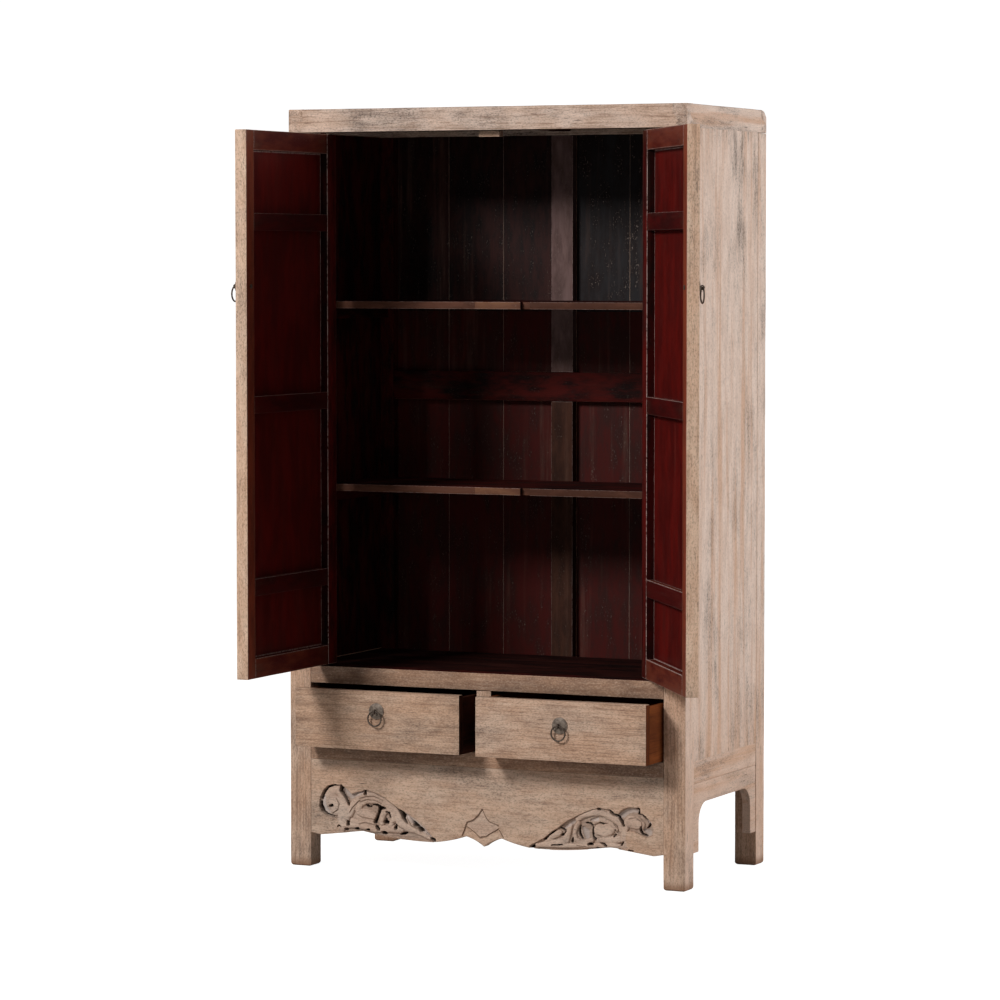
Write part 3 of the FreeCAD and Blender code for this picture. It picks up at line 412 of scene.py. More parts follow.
def lacquered(
    name,
    kept,
    aged,
    roughness,
    line_share,
    scuff_share,
    run_share=0.1,
    worn_share=0.0,
    reach=0.0035,
    line_width=0.0021,
):
    """Old lacquer over wood: darkened in patches, streaked, dusty along the arrises and rubbed through."""
    material, tree, shader = new_material(name, roughness, max(0.0, SHEEN * (DULL - roughness)))
    reaches = {"Edge Reach": reach, "End Reach": LACQUER_END_REACH}
    figure = node(tree, "ShaderNodeGroup", reaches, node_tree=board_figure()).outputs
    cloudy = times(tree, calc(tree, "ADD", figure["Patch"], figure["Tint"]), 0.5)
    rubbed_end = times(tree, figure["End"], step(tree, figure["Tint"], 0.4, 0.6))
    run = times(tree, step(tree, figure["Run"], 0.52, 0.68), step(tree, figure["Streak"], 0.3, 0.64))
    line = calc(tree, "SUBTRACT", 1.0, step(tree, figure["Arris"], 0.4 * line_width, line_width))
    broken = times(tree, line, step(tree, figure["Specks"], 0.34, 0.56))
    dotted = times(tree, step(tree, figure["Specks"], 0.58, 0.7), step(tree, figure["Tint"], 0.5, 0.62))
    layers = (
        (step(tree, figure["Fibre"], 0.5, 0.72), 0.3, aged),
        (calc(tree, "MAXIMUM", figure["Edge"], rubbed_end), worn_share, "bare_brown"),
        (run, run_share, "streak"),
        (broken, line_share, "line_dust"),
        (dotted, scuff_share, "scuff"),
    )
    base = mixed(tree, step(tree, cloudy, 0.4, 0.6), shade(kept), shade(aged))
    tree.links.new(layered(tree, base, layers), shader["Base Color"])
    dulled = calc(tree, "ADD", roughness, times(tree, figure["Streak"], 0.25))
    tree.links.new(dulled, shader["Roughness"])
    raise_surface(tree, shader, figure["Fibre"], depth=0.0006, strength=0.2)
    return material


def stained(name, kept, aged):
    """Brown stained wood of the drawer boxes."""
    material, tree, shader = new_material(name, roughness=0.9, specular=0.05)
    figure = node(tree, "ShaderNodeGroup", {"Edge Reach": 0.004}, node_tree=board_figure()).outputs
    base = mixed(tree, step(tree, figure["Patch"], 0.34, 0.7), shade(kept), shade(aged))
    layers = (
        (step(tree, figure["Fibre"], 0.46, 0.7), 0.5, "drawer_dark"),
        (figure["Edge"], 0.35, "bare_brown"),
    )
    tree.links.new(layered(tree, base, layers), shader["Base Color"])
    raise_surface(tree, shader, figure["Fibre"], depth=0.001, strength=0.4)
    return material


HAMMER_MARKS = ((150, 150, 150), 2)
RUST_SPOTS = ((420, 420, 420), 5, 0.7)


def iron(name, dark, worn):
    """Old forged iron, rubbed by hands and rusty in the hollows."""
    material, tree, shader = new_material(name, roughness=0.6, specular=0.4)
    shader["Metallic"].default_value = 0.3
    place = node(tree, "ShaderNodeTexCoord").outputs["Object"]
    hammered = cloud(tree, place, *HAMMER_MARKS)
    rust = cloud(tree, place, *RUST_SPOTS)
    base = mixed(tree, step(tree, hammered, 0.3, 0.7), shade(dark), shade(worn))
    rusty = ((step(tree, rust, 0.52, 0.7), 0.5, "drawer_dark"),)
    tree.links.new(layered(tree, base, rusty), shader["Base Color"])
    tree.links.new(calc(tree, "ADD", times(tree, rust, 0.4), 0.32), shader["Roughness"])
    raise_surface(tree, shader, hammered, depth=0.0006, strength=0.5)
    return material


# Each finish: its maker and that maker's values, in the order in which the maker names them.
FINISHES = {
    "bleached elm": (bleached, "elm_light", "elm_mid", 0.5, 1.0, 1.1),
    "bleached apron": (bleached, "apron_light", "apron_mid", 0.4, 0.5, 1.0),
    "bleached side": (bleached, "side_light", "side_mid", 0.1, 0.35, 1.1, 0.6, 0.6, 0.0),
    "smudged elm": (bleached, "smudged_light", "smudged_mid", 0.4, 1.0, 1.5),
    "bleached top": (bleached, "top_light", "top_mid", 0.3, 0.9, 1.1),
    "bleached edge": (bleached, "edge_light", "edge_mid", 0.4, 0.6, 0.9),
    # Painted shade as well as soil: the darker elm of the sill's front and the rail under the drawers.
    "soiled elm": (bleached, "soiled_light", "soiled_mid", 0.4, 1.0, 1.0),
    "red lacquer": (lacquered, "red_light", "red_dark", 0.36, 0.5, 0.12, 0.1, 0.4, 0.008),
    "brown red": (lacquered, "stile_brown", "red_mid", 0.42, 0.35, 0.2, 0.2, 0.5, 0.012),
    "brown stile": (lacquered, "stile_warm", "stile_brown", 0.42, 0.35, 0.2, 0.2, 0.6, 0.018),
    "red batten": (lacquered, "red_mid", "red_dark", 0.4, 0.06, 0.15, 0.1, 0.15),
    "dusty ledge": (lacquered, "stile_brown", "red_mid", 0.7, 0.8, 0.4, 0.3, 0.3, 0.006, 0.0045),
    "red panel": (lacquered, "red_light", "red_mid", 0.3, 0.75, 0.06, 0.1, 0.0, 0.0035, 0.005),
    # Painted shade: the darker lacquer on the stiles' walls beside the panels.
    "red wall": (lacquered, "red_dark", "dark_lacquer", 0.8, 0.9, 0.1),
    "dark lacquer": (lacquered, "dark_red", "dark_lacquer", 0.6, 0.0, 0.12),
    "dark floor": (lacquered, "panel_brown", "dark_lacquer", 0.7, 0.0, 0.12),
    "brown lacquer": (lacquered, "lacquer_brown", "lacquer_deep", 0.6, 0.2, 0.2, 0.2, 0.2),
    "brown muntin": (lacquered, "lacquer_deep", "muntin_dark", 0.6, 0.2, 0.2, 0.3),
    "dark panel": (lacquered, "panel_brown", "dark_lacquer", 0.42, 0.15, 0.4, 0.4),
    "deep panel": (lacquered, "dark_red", "panel_brown", 0.48, 0.15, 0.3, 0.3),
    "black panel": (lacquered, "dark_blue", "dark_lacquer", 0.42, 0.12, 0.8, 0.2),
    "rubbed lacquer": (lacquered, "rubbed_grey", "rubbed_dark", 0.5, 0.3, 0.4, 0.3, 0.2),
    "rubbed edge": (lacquered, "bare_brown", "lacquer_brown", 0.6, 0.3, 0.4, 0.4, 0.5),
    "brown stain": (stained, "drawer_brown", "drawer_mid"),
    "end stain": (stained, "drawer_mid", "drawer_dark"),
    # The dark stain is darker partly as painted shade, for the left drawer's box.
    "dark stain": (stained, "drawer_dark", "dark_lacquer"),
    "plate iron": (iron, "iron_mid", "iron_worn"),
    "ring iron": (iron, "iron_dark", "iron_mid"),
}


def finish(name):
    """A finish by name, made the first time that it is asked for."""
    if name not in bpy.data.materials:
        make, *values = FINISHES[name]
        make(name, *values)
    return bpy.data.materials[name]


# Modelling: a board starts as a box and is cut, shaped, softened and worn.
def only(piece):
    """Select one object and nothing else."""
    bpy.ops.object.select_all(action="DESELECT")
    piece.select_set(True)
    bpy.context.view_layer.objects.active = piece


def edit(piece, kind, chosen):
    """Open a piece in edit mode with the chosen vertices, edges or faces selected."""
    only(piece)
    bpy.ops.object.mode_set(mode="EDIT")
    bpy.ops.mesh.select_mode(type=kind)
    bpy.ops.mesh.select_all(action="DESELECT")
    mesh = bmesh.from_edit_mesh(piece.data)
    for part in {"VERT": mesh.verts, "EDGE": mesh.edges, "FACE": mesh.faces}[kind]:
        if chosen(part):
            part.select_set(True)
    bmesh.update_edit_mesh(piece.data)


def close_edit():
    """Leave edit mode."""
    bpy.ops.object.mode_set(mode="OBJECT")


def apply_modifier(piece, kind, **settings):
    """Add a modifier and apply it at once."""
    only(piece)
    modifier = piece.modifiers.new(kind.lower(), kind)
    for name, value in settings.items():
        setattr(modifier, name, value)
    bpy.ops.object.modifier_apply(modifier=modifier.name)


def box_start(name, low, high):
    """A square-edged block between two corners, with its place in its mesh."""
    bpy.ops.object.select_all(action="DESELECT")
    bpy.ops.mesh.primitive_cube_add(size=1, location=(low + high) / 2)
    piece = bpy.context.object
    piece.name = name
    piece.scale = high - low
    bpy.ops.object.transform_apply(location=True, rotation=True, scale=True)
    return piece


def cut_along(piece, axis, span, spacing):
    """Divide the edges that run along one axis, so that a board can dip between its ends."""
    cuts = int(span / spacing)
    if cuts < 1:
        return

    def runs_along(edge):
        run = edge.verts[1].co - edge.verts[0].co
        return abs(run[axis]) > FACING * run.length

    edit(piece, "EDGE", runs_along)
    bpy.ops.mesh.subdivide(number_cuts=cuts)
    close_edit()


def soften(piece, width):
    """Round the arrises."""
    apply_modifier(piece, "BEVEL", width=width, segments=2, limit_method="ANGLE", angle_limit=BEVEL_ANGLE)


def plane_by_hand(piece):
    """Let the faces dip inwards a little, as after a hand plane and years of use."""
    name = "planing"
    texture = bpy.data.textures.get(name) or bpy.data.textures.new(name, "CLOUDS")
    texture.noise_scale = sizes().planing_patch
    depth = sizes().planing_depth
    apply_modifier(
        piece, "DISPLACE", texture=texture, texture_coords="LOCAL", mid_level=1.0, strength=depth
    )


def lay_grain(piece, name, grain, low, high):
    """Note on each vertex where it lies in its board, how big the board is and which board it is."""
    mesh = piece.data
    count = len(mesh.vertices)
    places = np.empty(count * 3, np.float32)
    mesh.vertices.foreach_get("co", places)
    half = (high - low) / 2
    across = sorted((axis for axis in (X, Y, Z) if axis != grain), key=lambda axis: -half[axis])
    order = [grain, *across]
    places = (places.reshape(-1, 3) - np.array((low + high) / 2))[:, order]
    halves = np.tile(np.array(half)[order], (count, 1))
    for label, values in (("board_place", places), ("board_half", halves)):
        attribute = mesh.attributes.new(label, "FLOAT_VECTOR", "POINT")
        attribute.data.foreach_set("vector", values.astype(np.float32).ravel())
    share = zlib.crc32(name.encode()) % SEEDS / SEEDS
    seeds = mesh.attributes.new("board_seed", "FLOAT", "POINT")
    seeds.data.foreach_set("value", np.full(count, share, np.float32))


def coat(piece, chosen):
    """Give each face a finish: one name for all, or a function of the face's normal and centre."""
    names = []
    for face in piece.data.polygons:
        name = chosen if isinstance(chosen, str) else chosen(face.normal, face.center)
        if name not in names:
            names.append(name)
            piece.data.materials.append(finish(name))
        face.material_index = names.index(name)


def place_turned(piece, turn):
    """Carry a piece from its own frame into the cabinet's, and keep its place in its mesh."""
    only(piece)
    piece.matrix_world = turn
    bpy.ops.object.transform_apply(location=True, rotation=True, scale=True)


def board(name, low, high, grain, finished, shape=None, turn=None, softness=None):
    """One worn board between two corners, with its grain along an axis."""
    piece = box_start(name, low, high)
    for axis in (X, Y, Z):
        spacing = sizes().grain_step if axis == grain else sizes().cross_step
        cut_along(piece, axis, high[axis] - low[axis], spacing)
    if shape:
        shape(piece)
    soften(piece, softness or sizes().edge_softness)
    plane_by_hand(piece)
    lay_grain(piece, name, grain, low, high)
    coat(piece, finished)
    if turn:
        place_turned(piece, turn)
    return piece


def copied(node_name, grain, finished):
    """A shaped solid copied from the frame, merged, with its flat faces whole and its arrises softened."""
    piece = bpy.data.objects.new(f"{node_name} copy", frame["nodes"][node_name].data.copy())
    bpy.context.scene.collection.objects.link(piece)
    piece.data.materials.clear()
    edit(piece, "VERT", lambda vertex: True)
    bpy.ops.mesh.remove_doubles(threshold=MERGE)
    bpy.ops.mesh.dissolve_limited(angle_limit=FLAT_ANGLE)
    close_edit()
    soften(piece, sizes().edge_softness)
    low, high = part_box(node_name)
    lay_grain(piece, node_name, grain, low, high)
    coat(piece, finished)
    return piece


def settle(name, boards, body, *nodes):
    """Join boards into one piece that rides on a body and stands for its nodes."""
    only(boards[0])
    for piece in boards:
        piece.select_set(True)
    if len(boards) > 1:
        bpy.ops.object.join()
    piece = bpy.context.object
    piece.name = name
    bpy.ops.object.shade_smooth_by_angle(angle=SMOOTH_ANGLE)
    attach(piece, body)
    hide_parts(*nodes)
    return piece


def solid_boxes(node_name, turn=Matrix()):
    """The corners of each separate solid of a node, in a turned frame, ordered by their low corners."""
    mesh = bmesh.new()
    mesh.from_mesh(frame["nodes"][node_name].data)
    mesh.transform(turn.inverted())
    bmesh.ops.remove_doubles(mesh, verts=mesh.verts, dist=MERGE)
    waiting = set(mesh.verts)
    boxes = []
    while waiting:
        reached = [waiting.pop()]
        places = []
        while reached:
            vertex = reached.pop()
            places.append(vertex.co.copy())
            for edge in vertex.link_edges:
                other = edge.other_vert(vertex)
                if other in waiting:
                    waiting.remove(other)
                    reached.append(other)
        low = Vector(min(place[axis] for place in places) for axis in (X, Y, Z))
        high = Vector(max(place[axis] for place in places) for axis in (X, Y, Z))
        boxes.append((low, high))
    mesh.free()
    return sorted(boxes, key=lambda box: [round(value, 4) for value in box[0]])


def clipped(box, axis, low, high):
    """A box cut back to a span along one axis, so that a tenon's hidden length is left out."""
    corners = (box[0].copy(), box[1].copy())
    corners[0][axis] = max(corners[0][axis], low)
    corners[1][axis] = min(corners[1][axis], high)
    return corners


def planks(name, box, count, across, seam, grain, finished, shape=None):
    """Boards side by side in a box, with an open seam between them, or a lap where it is below nought."""
    low, high = box
    width = (high[across] - low[across]) / count
    made = []
    for index in range(count):
        first, last = low.copy(), high.copy()
        first[across] = low[across] + width * index + (seam / 2 if index else 0)
        last[across] = low[across] + width * (index + 1) - (seam / 2 if index < count - 1 else 0)
        label = f"{name} {index + 1}"
        made.append(board(label, first, last, grain, finished, shape, softness=sizes().joint_softness))
    return made


# Where hands have rubbed the shelves' front edges, in metres from the cabinet's middle.
RUBBED_FROM, RUBBED_TO = -0.075, 0.035
# How many boards lie side by side.
SIDE_BOARDS = 1
TOP_BOARDS = 3
BACK_BOARDS = 3
FLOOR_BOARDS = 3
# Faces of the frame that pieces end at.
POST_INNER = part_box("front_right_post")[0].x
POST_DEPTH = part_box("front_right_post")[1].y
SIDE_INNER = (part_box("right_side_boards")[0].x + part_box("right_side_boards")[1].x) / 2
TOP_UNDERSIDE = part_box("top_front_rail")[0].z
HALF_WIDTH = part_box("top_back_rail")[1].x
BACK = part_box("top_back_rail")[1].y
UPPER_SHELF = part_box("upper_shelf")[1].z
DOOR_MIDDLE = sum(corner.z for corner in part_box("left_door_meeting_stile")) / 2
PANEL_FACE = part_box("back_panels")[0].y
FLOOR_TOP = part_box("floor_boards")[1].z


def inside_dark(side=0, end=0):
    """A coat: dark lacquer where a face looks into the cabinet above its floor, bleached elsewhere."""

    def chosen(normal, centre):
        board_edge = side and not end and abs(normal.y) > FACING
        inward = board_edge or normal.x * side < -FACING or normal.y * end < -FACING
        upward = normal.z > FACING
        within_walls = abs(centre.x) < SIDE_INNER and centre.y < PANEL_FACE
        if (upward or inward and centre.z > FLOOR_TOP) and within_walls:
            return "dark lacquer"
        return "bleached side" if side and normal.x * side > FACING else "bleached elm"

    return chosen


def ease(piece, width, chosen):
    """Round the sharp arrises between the chosen vertices."""
    edit(piece, "EDGE", lambda edge: all(map(chosen, edge.verts)) and edge.calc_face_angle(0) > FACING)
    bpy.ops.mesh.bevel(offset=width, segments=3)
    close_edit()


class CABINET_OT_posts(bpy.types.Operator):
    """Dress the four posts, which run on down as the legs"""

    bl_idname = "cabinet.posts"
    bl_label = "Posts"

    def round_foot(self, piece):
        ease(piece, sizes().foot_softness, lambda vertex: vertex.co.z < TOUCH)

    def execute(self, context):
        for end, toward in ENDS.items():
            for side, outward in SIDES.items():
                name = f"{end}_{side}_post"
                box = clipped(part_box(name), Z, 0, TOP_UNDERSIDE)
                piece = board(name, *box, Z, inside_dark(outward, toward), self.round_foot)
                settle(f"worn_{name}", [piece], "carcass", name)
        return {"FINISHED"}


class CABINET_OT_top(bpy.types.Operator):
    """Dress the mitred frame of the top, its boards and the batten under them"""

    bl_idname = "cabinet.top"
    bl_label = "Top"

    def shaped(self, low, high, along, across):
        """How a rail is mitred, worn at the back corners and rounded along its upper outer arris."""
        inner = min(abs(low[across]), abs(high[across]))
        outer = max(abs(low[across]), abs(high[across]))
        share = abs((POST_INNER, POST_DEPTH)[along]) / high[along]
        worn = sizes().corner_wear

        def upper_outer(vertex):
            return vertex.co.z > high.z - 2 * worn and abs(vertex.co[across]) > outer - 2 * worn

        def shape(piece):
            for vertex in piece.data.vertices:
                place = vertex.co
                if abs(abs(place[across]) - inner) < TOUCH:
                    place[along] *= share
                elif place.z > high.z - TOUCH:
                    away = HALF_WIDTH - abs(place.x) + BACK - place.y
                    near = max(0, 1 - away / sizes().corner_reach)
                    place -= Vector((math.copysign(worn, place.x), worn, worn)) * near**2
            ease(piece, sizes().top_softness, upper_outer)

        return shape

    def coat_frame(self, normal, centre):
        if normal.z < -FACING and abs(centre.x) < POST_INNER:
            return "dark stain"
        return "bleached side" if abs(normal.x) > FACING else "bleached top"

    def coat_boards(self, normal, centre):
        return "dark stain" if normal.z < -FACING else "bleached top"

    def rail(self, name, low, high, along, across):
        shape = self.shaped(low, high, along, across)
        return board(name, low, high, along, self.coat_frame, shape, softness=sizes().rail_softness)

    def execute(self, context):
        for end in ENDS:
            name = f"top_{end}_rail"
            settle(f"worn_{name}", [self.rail(name, *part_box(name), X, Y)], "carcass", name)
        rails = []
        for low, high in solid_boxes("top_side_rails"):
            rails.append(self.rail(f"top side rail {low.x:.2f}", low, high, Y, X))
        settle("worn_top_side_rails", rails, "carcass", "top_side_rails")
        boards = planks("top board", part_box("top_boards"), TOP_BOARDS, Y, sizes().seam, X, self.coat_boards)
        settle("worn_top_boards", boards, "carcass", "top_boards")
        batten = board("top batten", *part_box("top_batten"), Y, "dark stain")
        settle("worn_top_batten", [batten], "carcass", "top_batten")
        return {"FINISHED"}


class CABINET_OT_front(bpy.types.Operator):
    """Dress the sill, the rail under the drawers, the divider and the doors' stop"""

    bl_idname = "cabinet.front"
    bl_label = "Front rails"

    def coat_sill(self, normal, centre):
        # The sill's front takes the soiled elm, darker partly as painted shade.
        return "dark lacquer" if normal.z > FACING or normal.y > FACING else "soiled elm"

    def coat_frame(self, normal, centre):
        front_or_back = abs(normal.z) < FACING and abs(normal.x) < FACING
        return "bleached elm" if normal.y < -FACING or front_or_back else "dark stain"

    def execute(self, context):
        sill = clipped(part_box("door_sill"), X, -POST_INNER, POST_INNER)
        rail = clipped(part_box("lower_rail"), X, -POST_INNER, POST_INNER)
        divider = clipped(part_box("drawer_divider"), Z, rail[1].z, sill[0].z)
        for name, box, grain, finished in (
            ("door_sill", sill, X, self.coat_sill),
            # The rail under the drawers takes the soiled elm, darker partly as painted shade.
            ("lower_rail", rail, X, "soiled elm"),
            ("drawer_divider", divider, Z, self.coat_frame),
            ("door_stop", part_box("door_stop"), X, "bleached edge"),
        ):
            settle(f"worn_{name}", [board(name, *box, grain, finished)], "carcass", name)
        return {"FINISHED"}


# The carving, in millimetres: distance from the post along the apron, height above the floor, half-width.
# Between the scrolls the ground is sunk; ribs rise from it, slopes dish the face, lines and holes cut it.
LEFT_ZONE = (
    (76, 188), (56, 190), (42, 186), (30, 175), (22, 158), (20, 140), (26, 126), (40, 118),
    (62, 114), (72, 104), (70, 84), (310, 74), (281, 101), (256, 119), (236, 132), (216, 145),
    (202, 153), (182, 167), (158, 177), (138, 181), (118, 175), (104, 170), (96, 172), (84, 184),
)
LEFT_RIBS = (
    (
        (70, 176, 11), (58, 177, 12), (47, 170, 13), (40, 158, 13), (38, 146, 12),
        (42, 135, 11), (54, 128, 10), (66, 128, 9),
    ),
    ((52, 150, 18), (60, 148, 16)),
    ((72, 170, 9), (82, 152, 13), (83, 130, 16), (78, 110, 15), (74, 94, 12)),
    (
        (96, 124, 7), (104, 144, 9), (118, 160, 11), (138, 169, 11), (158, 168, 11),
        (182, 156, 10), (204, 141, 9), (218, 128, 8),
    ),
    ((116, 134, 7), (122, 150, 8), (140, 158, 8), (160, 157, 7), (178, 149, 5)),
    ((124, 123, 15), (140, 122, 16), (150, 121, 14)),
    ((102, 110, 6), (122, 103, 8), (146, 104, 9), (156, 102, 6)),
    (
        (176, 108, 6), (176, 122, 7), (182, 134, 7), (192, 138, 6), (202, 130, 6),
        (204, 116, 6), (196, 104, 6),
    ),
    ((214, 130, 8), (219, 114, 9), (236, 102, 9), (258, 98, 8), (286, 86, 6), (298, 80, 4)),
    ((240, 124, 5), (248, 110, 6), (266, 101, 5), (284, 92, 4)),
    ((70, 97, 6), (104, 100, 7), (130, 98, 7), (156, 93, 7), (196, 97, 9), (222, 96, 8)),
)
LEFT_SLOPES = (
    ((80, 183, 3), (90, 172, 7), (99, 163, 5), (108, 168, 5), (120, 172, 5), (130, 176, 2)),
    ((34, 160, 3), (31, 148, 6), (34, 136, 6), (44, 127, 4)),
    ((222, 140, 2), (244, 125, 6), (262, 113, 7), (282, 99, 5), (300, 84, 2)),
)
LEFT_LINES = (
    ((96, 128, 1.0), (103, 138, 1.2), (112, 148, 1.2), (122, 157, 1.0)),
    ((122, 161, 1.0), (138, 166, 1.2), (158, 167, 1.2), (180, 159, 1.0)),
    ((122, 153, 1.0), (139, 159, 1.2), (158, 159, 1.2), (176, 152, 1.0)),
    ((138, 178, 1.0), (158, 175, 1.2), (182, 165, 1.2), (203, 152, 1.2), (214, 144, 1.0)),
    ((114, 125, 1.2), (129, 118, 1.5), (145, 117, 1.5), (160, 115, 1.2)),
    ((120, 103, 1.2), (133, 107, 1.5), (147, 105, 1.5), (158, 103, 1.2)),
    ((62, 158, 1.0), (70, 146, 1.4), (66, 132, 1.4), (54, 124, 1.2)),
    ((204, 112, 1.0), (216, 104, 1.4), (234, 96, 1.2)),
    ((238, 126, 1.0), (250, 106, 1.4), (276, 96, 1.0)),
    ((201, 80, 1.2), (224, 85, 2.2), (238, 89, 1.6), (254, 87, 1.2), (280, 84, 1.0)),
)
LEFT_HOLES = (
    ((66, 187, 0.8), (56, 187, 1.2), (43, 183, 2.2), (33, 172, 3.0), (26, 157, 2.6)),
    ((24, 147, 2.8), (24, 138, 3.2), (30, 128, 2.8), (39, 122, 1.8), (58, 119, 0.6)),
    ((47, 140, 2.6), (52, 142, 2.8)),
    ((75, 186, 3.4), (75, 176, 3.2), (81, 168, 2.0), (88, 159, 2.2), (94, 145, 1.8)),
    ((134, 177, 3.4), (135, 172, 3.0)),
    ((137, 147, 2.2), (141, 144, 2.4)),
    ((145, 143, 1.2), (149, 145, 1.4)),
    ((153, 149, 1.2), (166, 148, 3.0), (172, 143, 5.0), (185, 142, 1.0)),
    ((170, 142, 4.2), (167, 130, 3.0), (164, 121, 2.6), (159, 110, 3.4)),
    ((188, 135, 1.4), (194, 132, 2.8), (197, 123, 2.4)),
    ((186, 119, 1.2), (185, 112, 4.4), (192, 110, 2.4)),
    ((211, 108, 0.8), (211, 100, 4.0)),
    ((216, 143, 1.0), (228, 133, 4.8), (231, 121, 3.2), (238, 112, 1.4)),
    ((253, 116, 1.0), (260, 110, 4.4), (265, 107, 2.4)),
    ((267, 104, 1.8), (273, 99, 4.0), (279, 97, 1.2)),
    ((300, 81, 2.8), (306, 78, 4.0)),
    ((90, 109, 1.4), (92, 102, 4.0)),
    ((163, 100, 2.6), (168, 95, 3.8)),
    ((179, 87, 3.6), (185, 87, 3.2)),
    ((66, 94, 1.0), (69, 98, 1.2), (74, 95, 1.0)),
    ((84, 90, 1.6), (88, 89, 2.4)),
    ((110, 92, 2.0), (116, 93, 3.0)),
    ((138, 91, 1.4), (144, 92, 2.4)),
    ((222, 86, 1.6), (230, 88, 3.0), (238, 90, 1.4)),
)
RIGHT_ZONE = (
    (105, 162), (93, 172), (80, 177), (55, 177), (54, 165), (42, 159), (37, 155), (31, 146),
    (23, 132), (25, 119), (39, 114), (52, 118), (66, 124), (80, 127), (88, 121), (88, 105),
    (84, 86), (317, 70), (317, 80), (283, 98), (263, 114), (245, 126), (225, 140), (209, 148),
    (186, 161), (166, 168), (150, 172), (127, 169), (116, 162),
)
RIGHT_RIBS = (
    (
        (205, 143, 5), (190, 153, 6), (170, 160, 7), (150, 163, 8), (130, 159, 8),
        (115, 151, 8), (103, 141, 8), (98, 128, 8),
    ),
    ((164, 140, 5), (150, 147, 6), (130, 145, 7), (119, 137, 6), (112, 127, 5)),
    ((152, 124, 13), (142, 123, 15), (129, 126, 13)),
    ((156, 99, 6), (142, 101, 8), (123, 104, 9), (105, 106, 8)),
    ((201, 136, 5), (208, 126, 5), (211, 114, 5), (207, 100, 5), (197, 94, 6), (182, 95, 6), (170, 100, 6)),
    ((221, 128, 6), (226, 111, 7), (231, 97, 8), (243, 92, 8), (269, 88, 7), (299, 81, 5)),
    ((277, 93, 5), (263, 104, 7), (247, 112, 7)),
    ((78, 146, 14), (64, 144, 14), (54, 140, 10)),
    ((85, 146, 8), (92, 128, 8), (93, 108, 8), (90, 92, 8)),
    ((300, 82, 5), (240, 84, 5), (180, 88, 5), (120, 92, 6), (92, 90, 5)),
)
RIGHT_SLOPES = (
    ((107, 157, 4), (97, 160, 7), (88, 167, 6), (74, 171, 5), (62, 170, 4)),
    ((45, 130, 4), (36, 125, 8), (40, 118, 3)),
    ((236, 123, 3), (221, 133, 5), (209, 142, 3)),
    ((190, 126, 4), (184, 118, 8), (182, 108, 6)),
    ((172, 144, 3), (156, 147, 5)),
    ((37, 152, 3), (31, 144, 4)),
)
RIGHT_LINES = (
    ((105, 162, 1.0), (99, 168, 1.4), (91, 173, 1.4), (80, 177, 1.2), (64, 177, 1.0)),
    ((149, 169, 1.4), (133, 165, 1.2)),
    ((245, 125, 1.6), (225, 140, 1.4), (209, 148, 1.2), (186, 160, 0.9), (166, 168, 0.9), (154, 170, 1.2)),
    ((205, 87, 1.0), (193, 85, 1.2), (182, 85, 1.0)),
    ((82, 152, 0.8), (66, 156, 1.0), (52, 148, 1.0), (50, 138, 0.8)),
    ((174, 147, 0.8), (158, 152, 1.0), (138, 151, 1.0), (119, 143, 1.0), (111, 132, 0.8)),
    ((154, 113, 0.8), (138, 109, 1.2), (121, 112, 1.0)),
)
RIGHT_HOLES = (
    ((63, 176, 1.4), (58, 175, 2.4), (59, 165, 2.4)),
    ((58, 164, 1.8), (50, 163, 1.8), (43, 157, 2.6), (39, 154, 1.8)),
    ((33, 144, 1.6), (35, 138, 2.2), (39, 135, 1.2)),
    ((53, 136, 1.8), (55, 128, 2.6), (50, 121, 2.4), (40, 117, 1.2)),
    ((127, 169, 1.6), (122, 164, 2.8), (117, 160, 2.2), (107, 156, 1.4), (99, 147, 2.2), (93, 137, 2.2)),
    ((154, 170, 2.4), (151, 169, 2.2)),
    ((245, 124, 1.6), (237, 120, 1.4), (231, 117, 1.6), (235, 111, 1.2)),
    ((241, 108, 2.4), (239, 109, 2.2)),
    ((283, 96, 1.8), (279, 98, 2.6), (271, 106, 1.4), (263, 112, 1.8), (256, 117, 1.0)),
    ((313, 77, 2.8), (308, 80, 2.6)),
    ((216, 103, 1.0), (217, 95, 2.8)),
    ((197, 131, 1.4), (200, 121, 2.4), (198, 111, 2.4), (192, 103, 1.6)),
    ((184, 138, 1.4), (174, 137, 1.6), (169, 133, 1.6)),
    ((167, 129, 1.4), (168, 120, 1.8), (167, 109, 1.8), (160, 102, 2.2)),
    ((150, 140, 1.6), (142, 138, 1.4)),
    ((114, 126, 1.6), (113, 126, 1.4)),
    ((114, 116, 1.4), (116, 112, 1.8)),
    ((177, 91, 2.0), (172, 93, 2.4), (167, 91, 1.8)),
    ((147, 96, 1.2), (140, 94, 1.8), (135, 90, 2.2)),
    ((98, 95, 2.2), (94, 101, 1.6)),
    ((265, 84, 1.0), (253, 85, 1.2), (239, 87, 1.0)),
    ((81, 84, 1.4), (72, 83, 1.2)),
    ((158, 85, 1.4), (154, 85, 1.6)),
)
# The incised lozenge in the middle: distance from the middle, height, half-width.
LOZENGE = (
    (
        (-4, 153, 1.4), (-14, 138, 2.0), (-26, 127, 2.0), (-41, 122, 1.8), (-44, 114, 1.7),
        (-47, 104, 1.8), (-53, 92, 1.6),
    ),
    ((-4, 153, 0.7), (3, 139, 0.8), (12, 127, 1.1), (35, 119, 1.3)),
    ((35, 112, 1.6), (27, 106, 1.6), (15, 100, 1.6), (6, 93, 2.0), (-9, 90, 2.4)),
    ((38, 109, 0.9), (44, 99, 1.1), (47, 93, 1.1)),
    ((-41, 113, 0.7), (-21, 100, 0.8), (-9, 90, 1.2)),
)
LOZENGE_FIELD = (
    (-4, 152), (-14, 137), (-40, 121), (-40, 113), (-21, 101),
    (-8, 91), (6, 94), (34, 113), (34, 119), (12, 126),
)
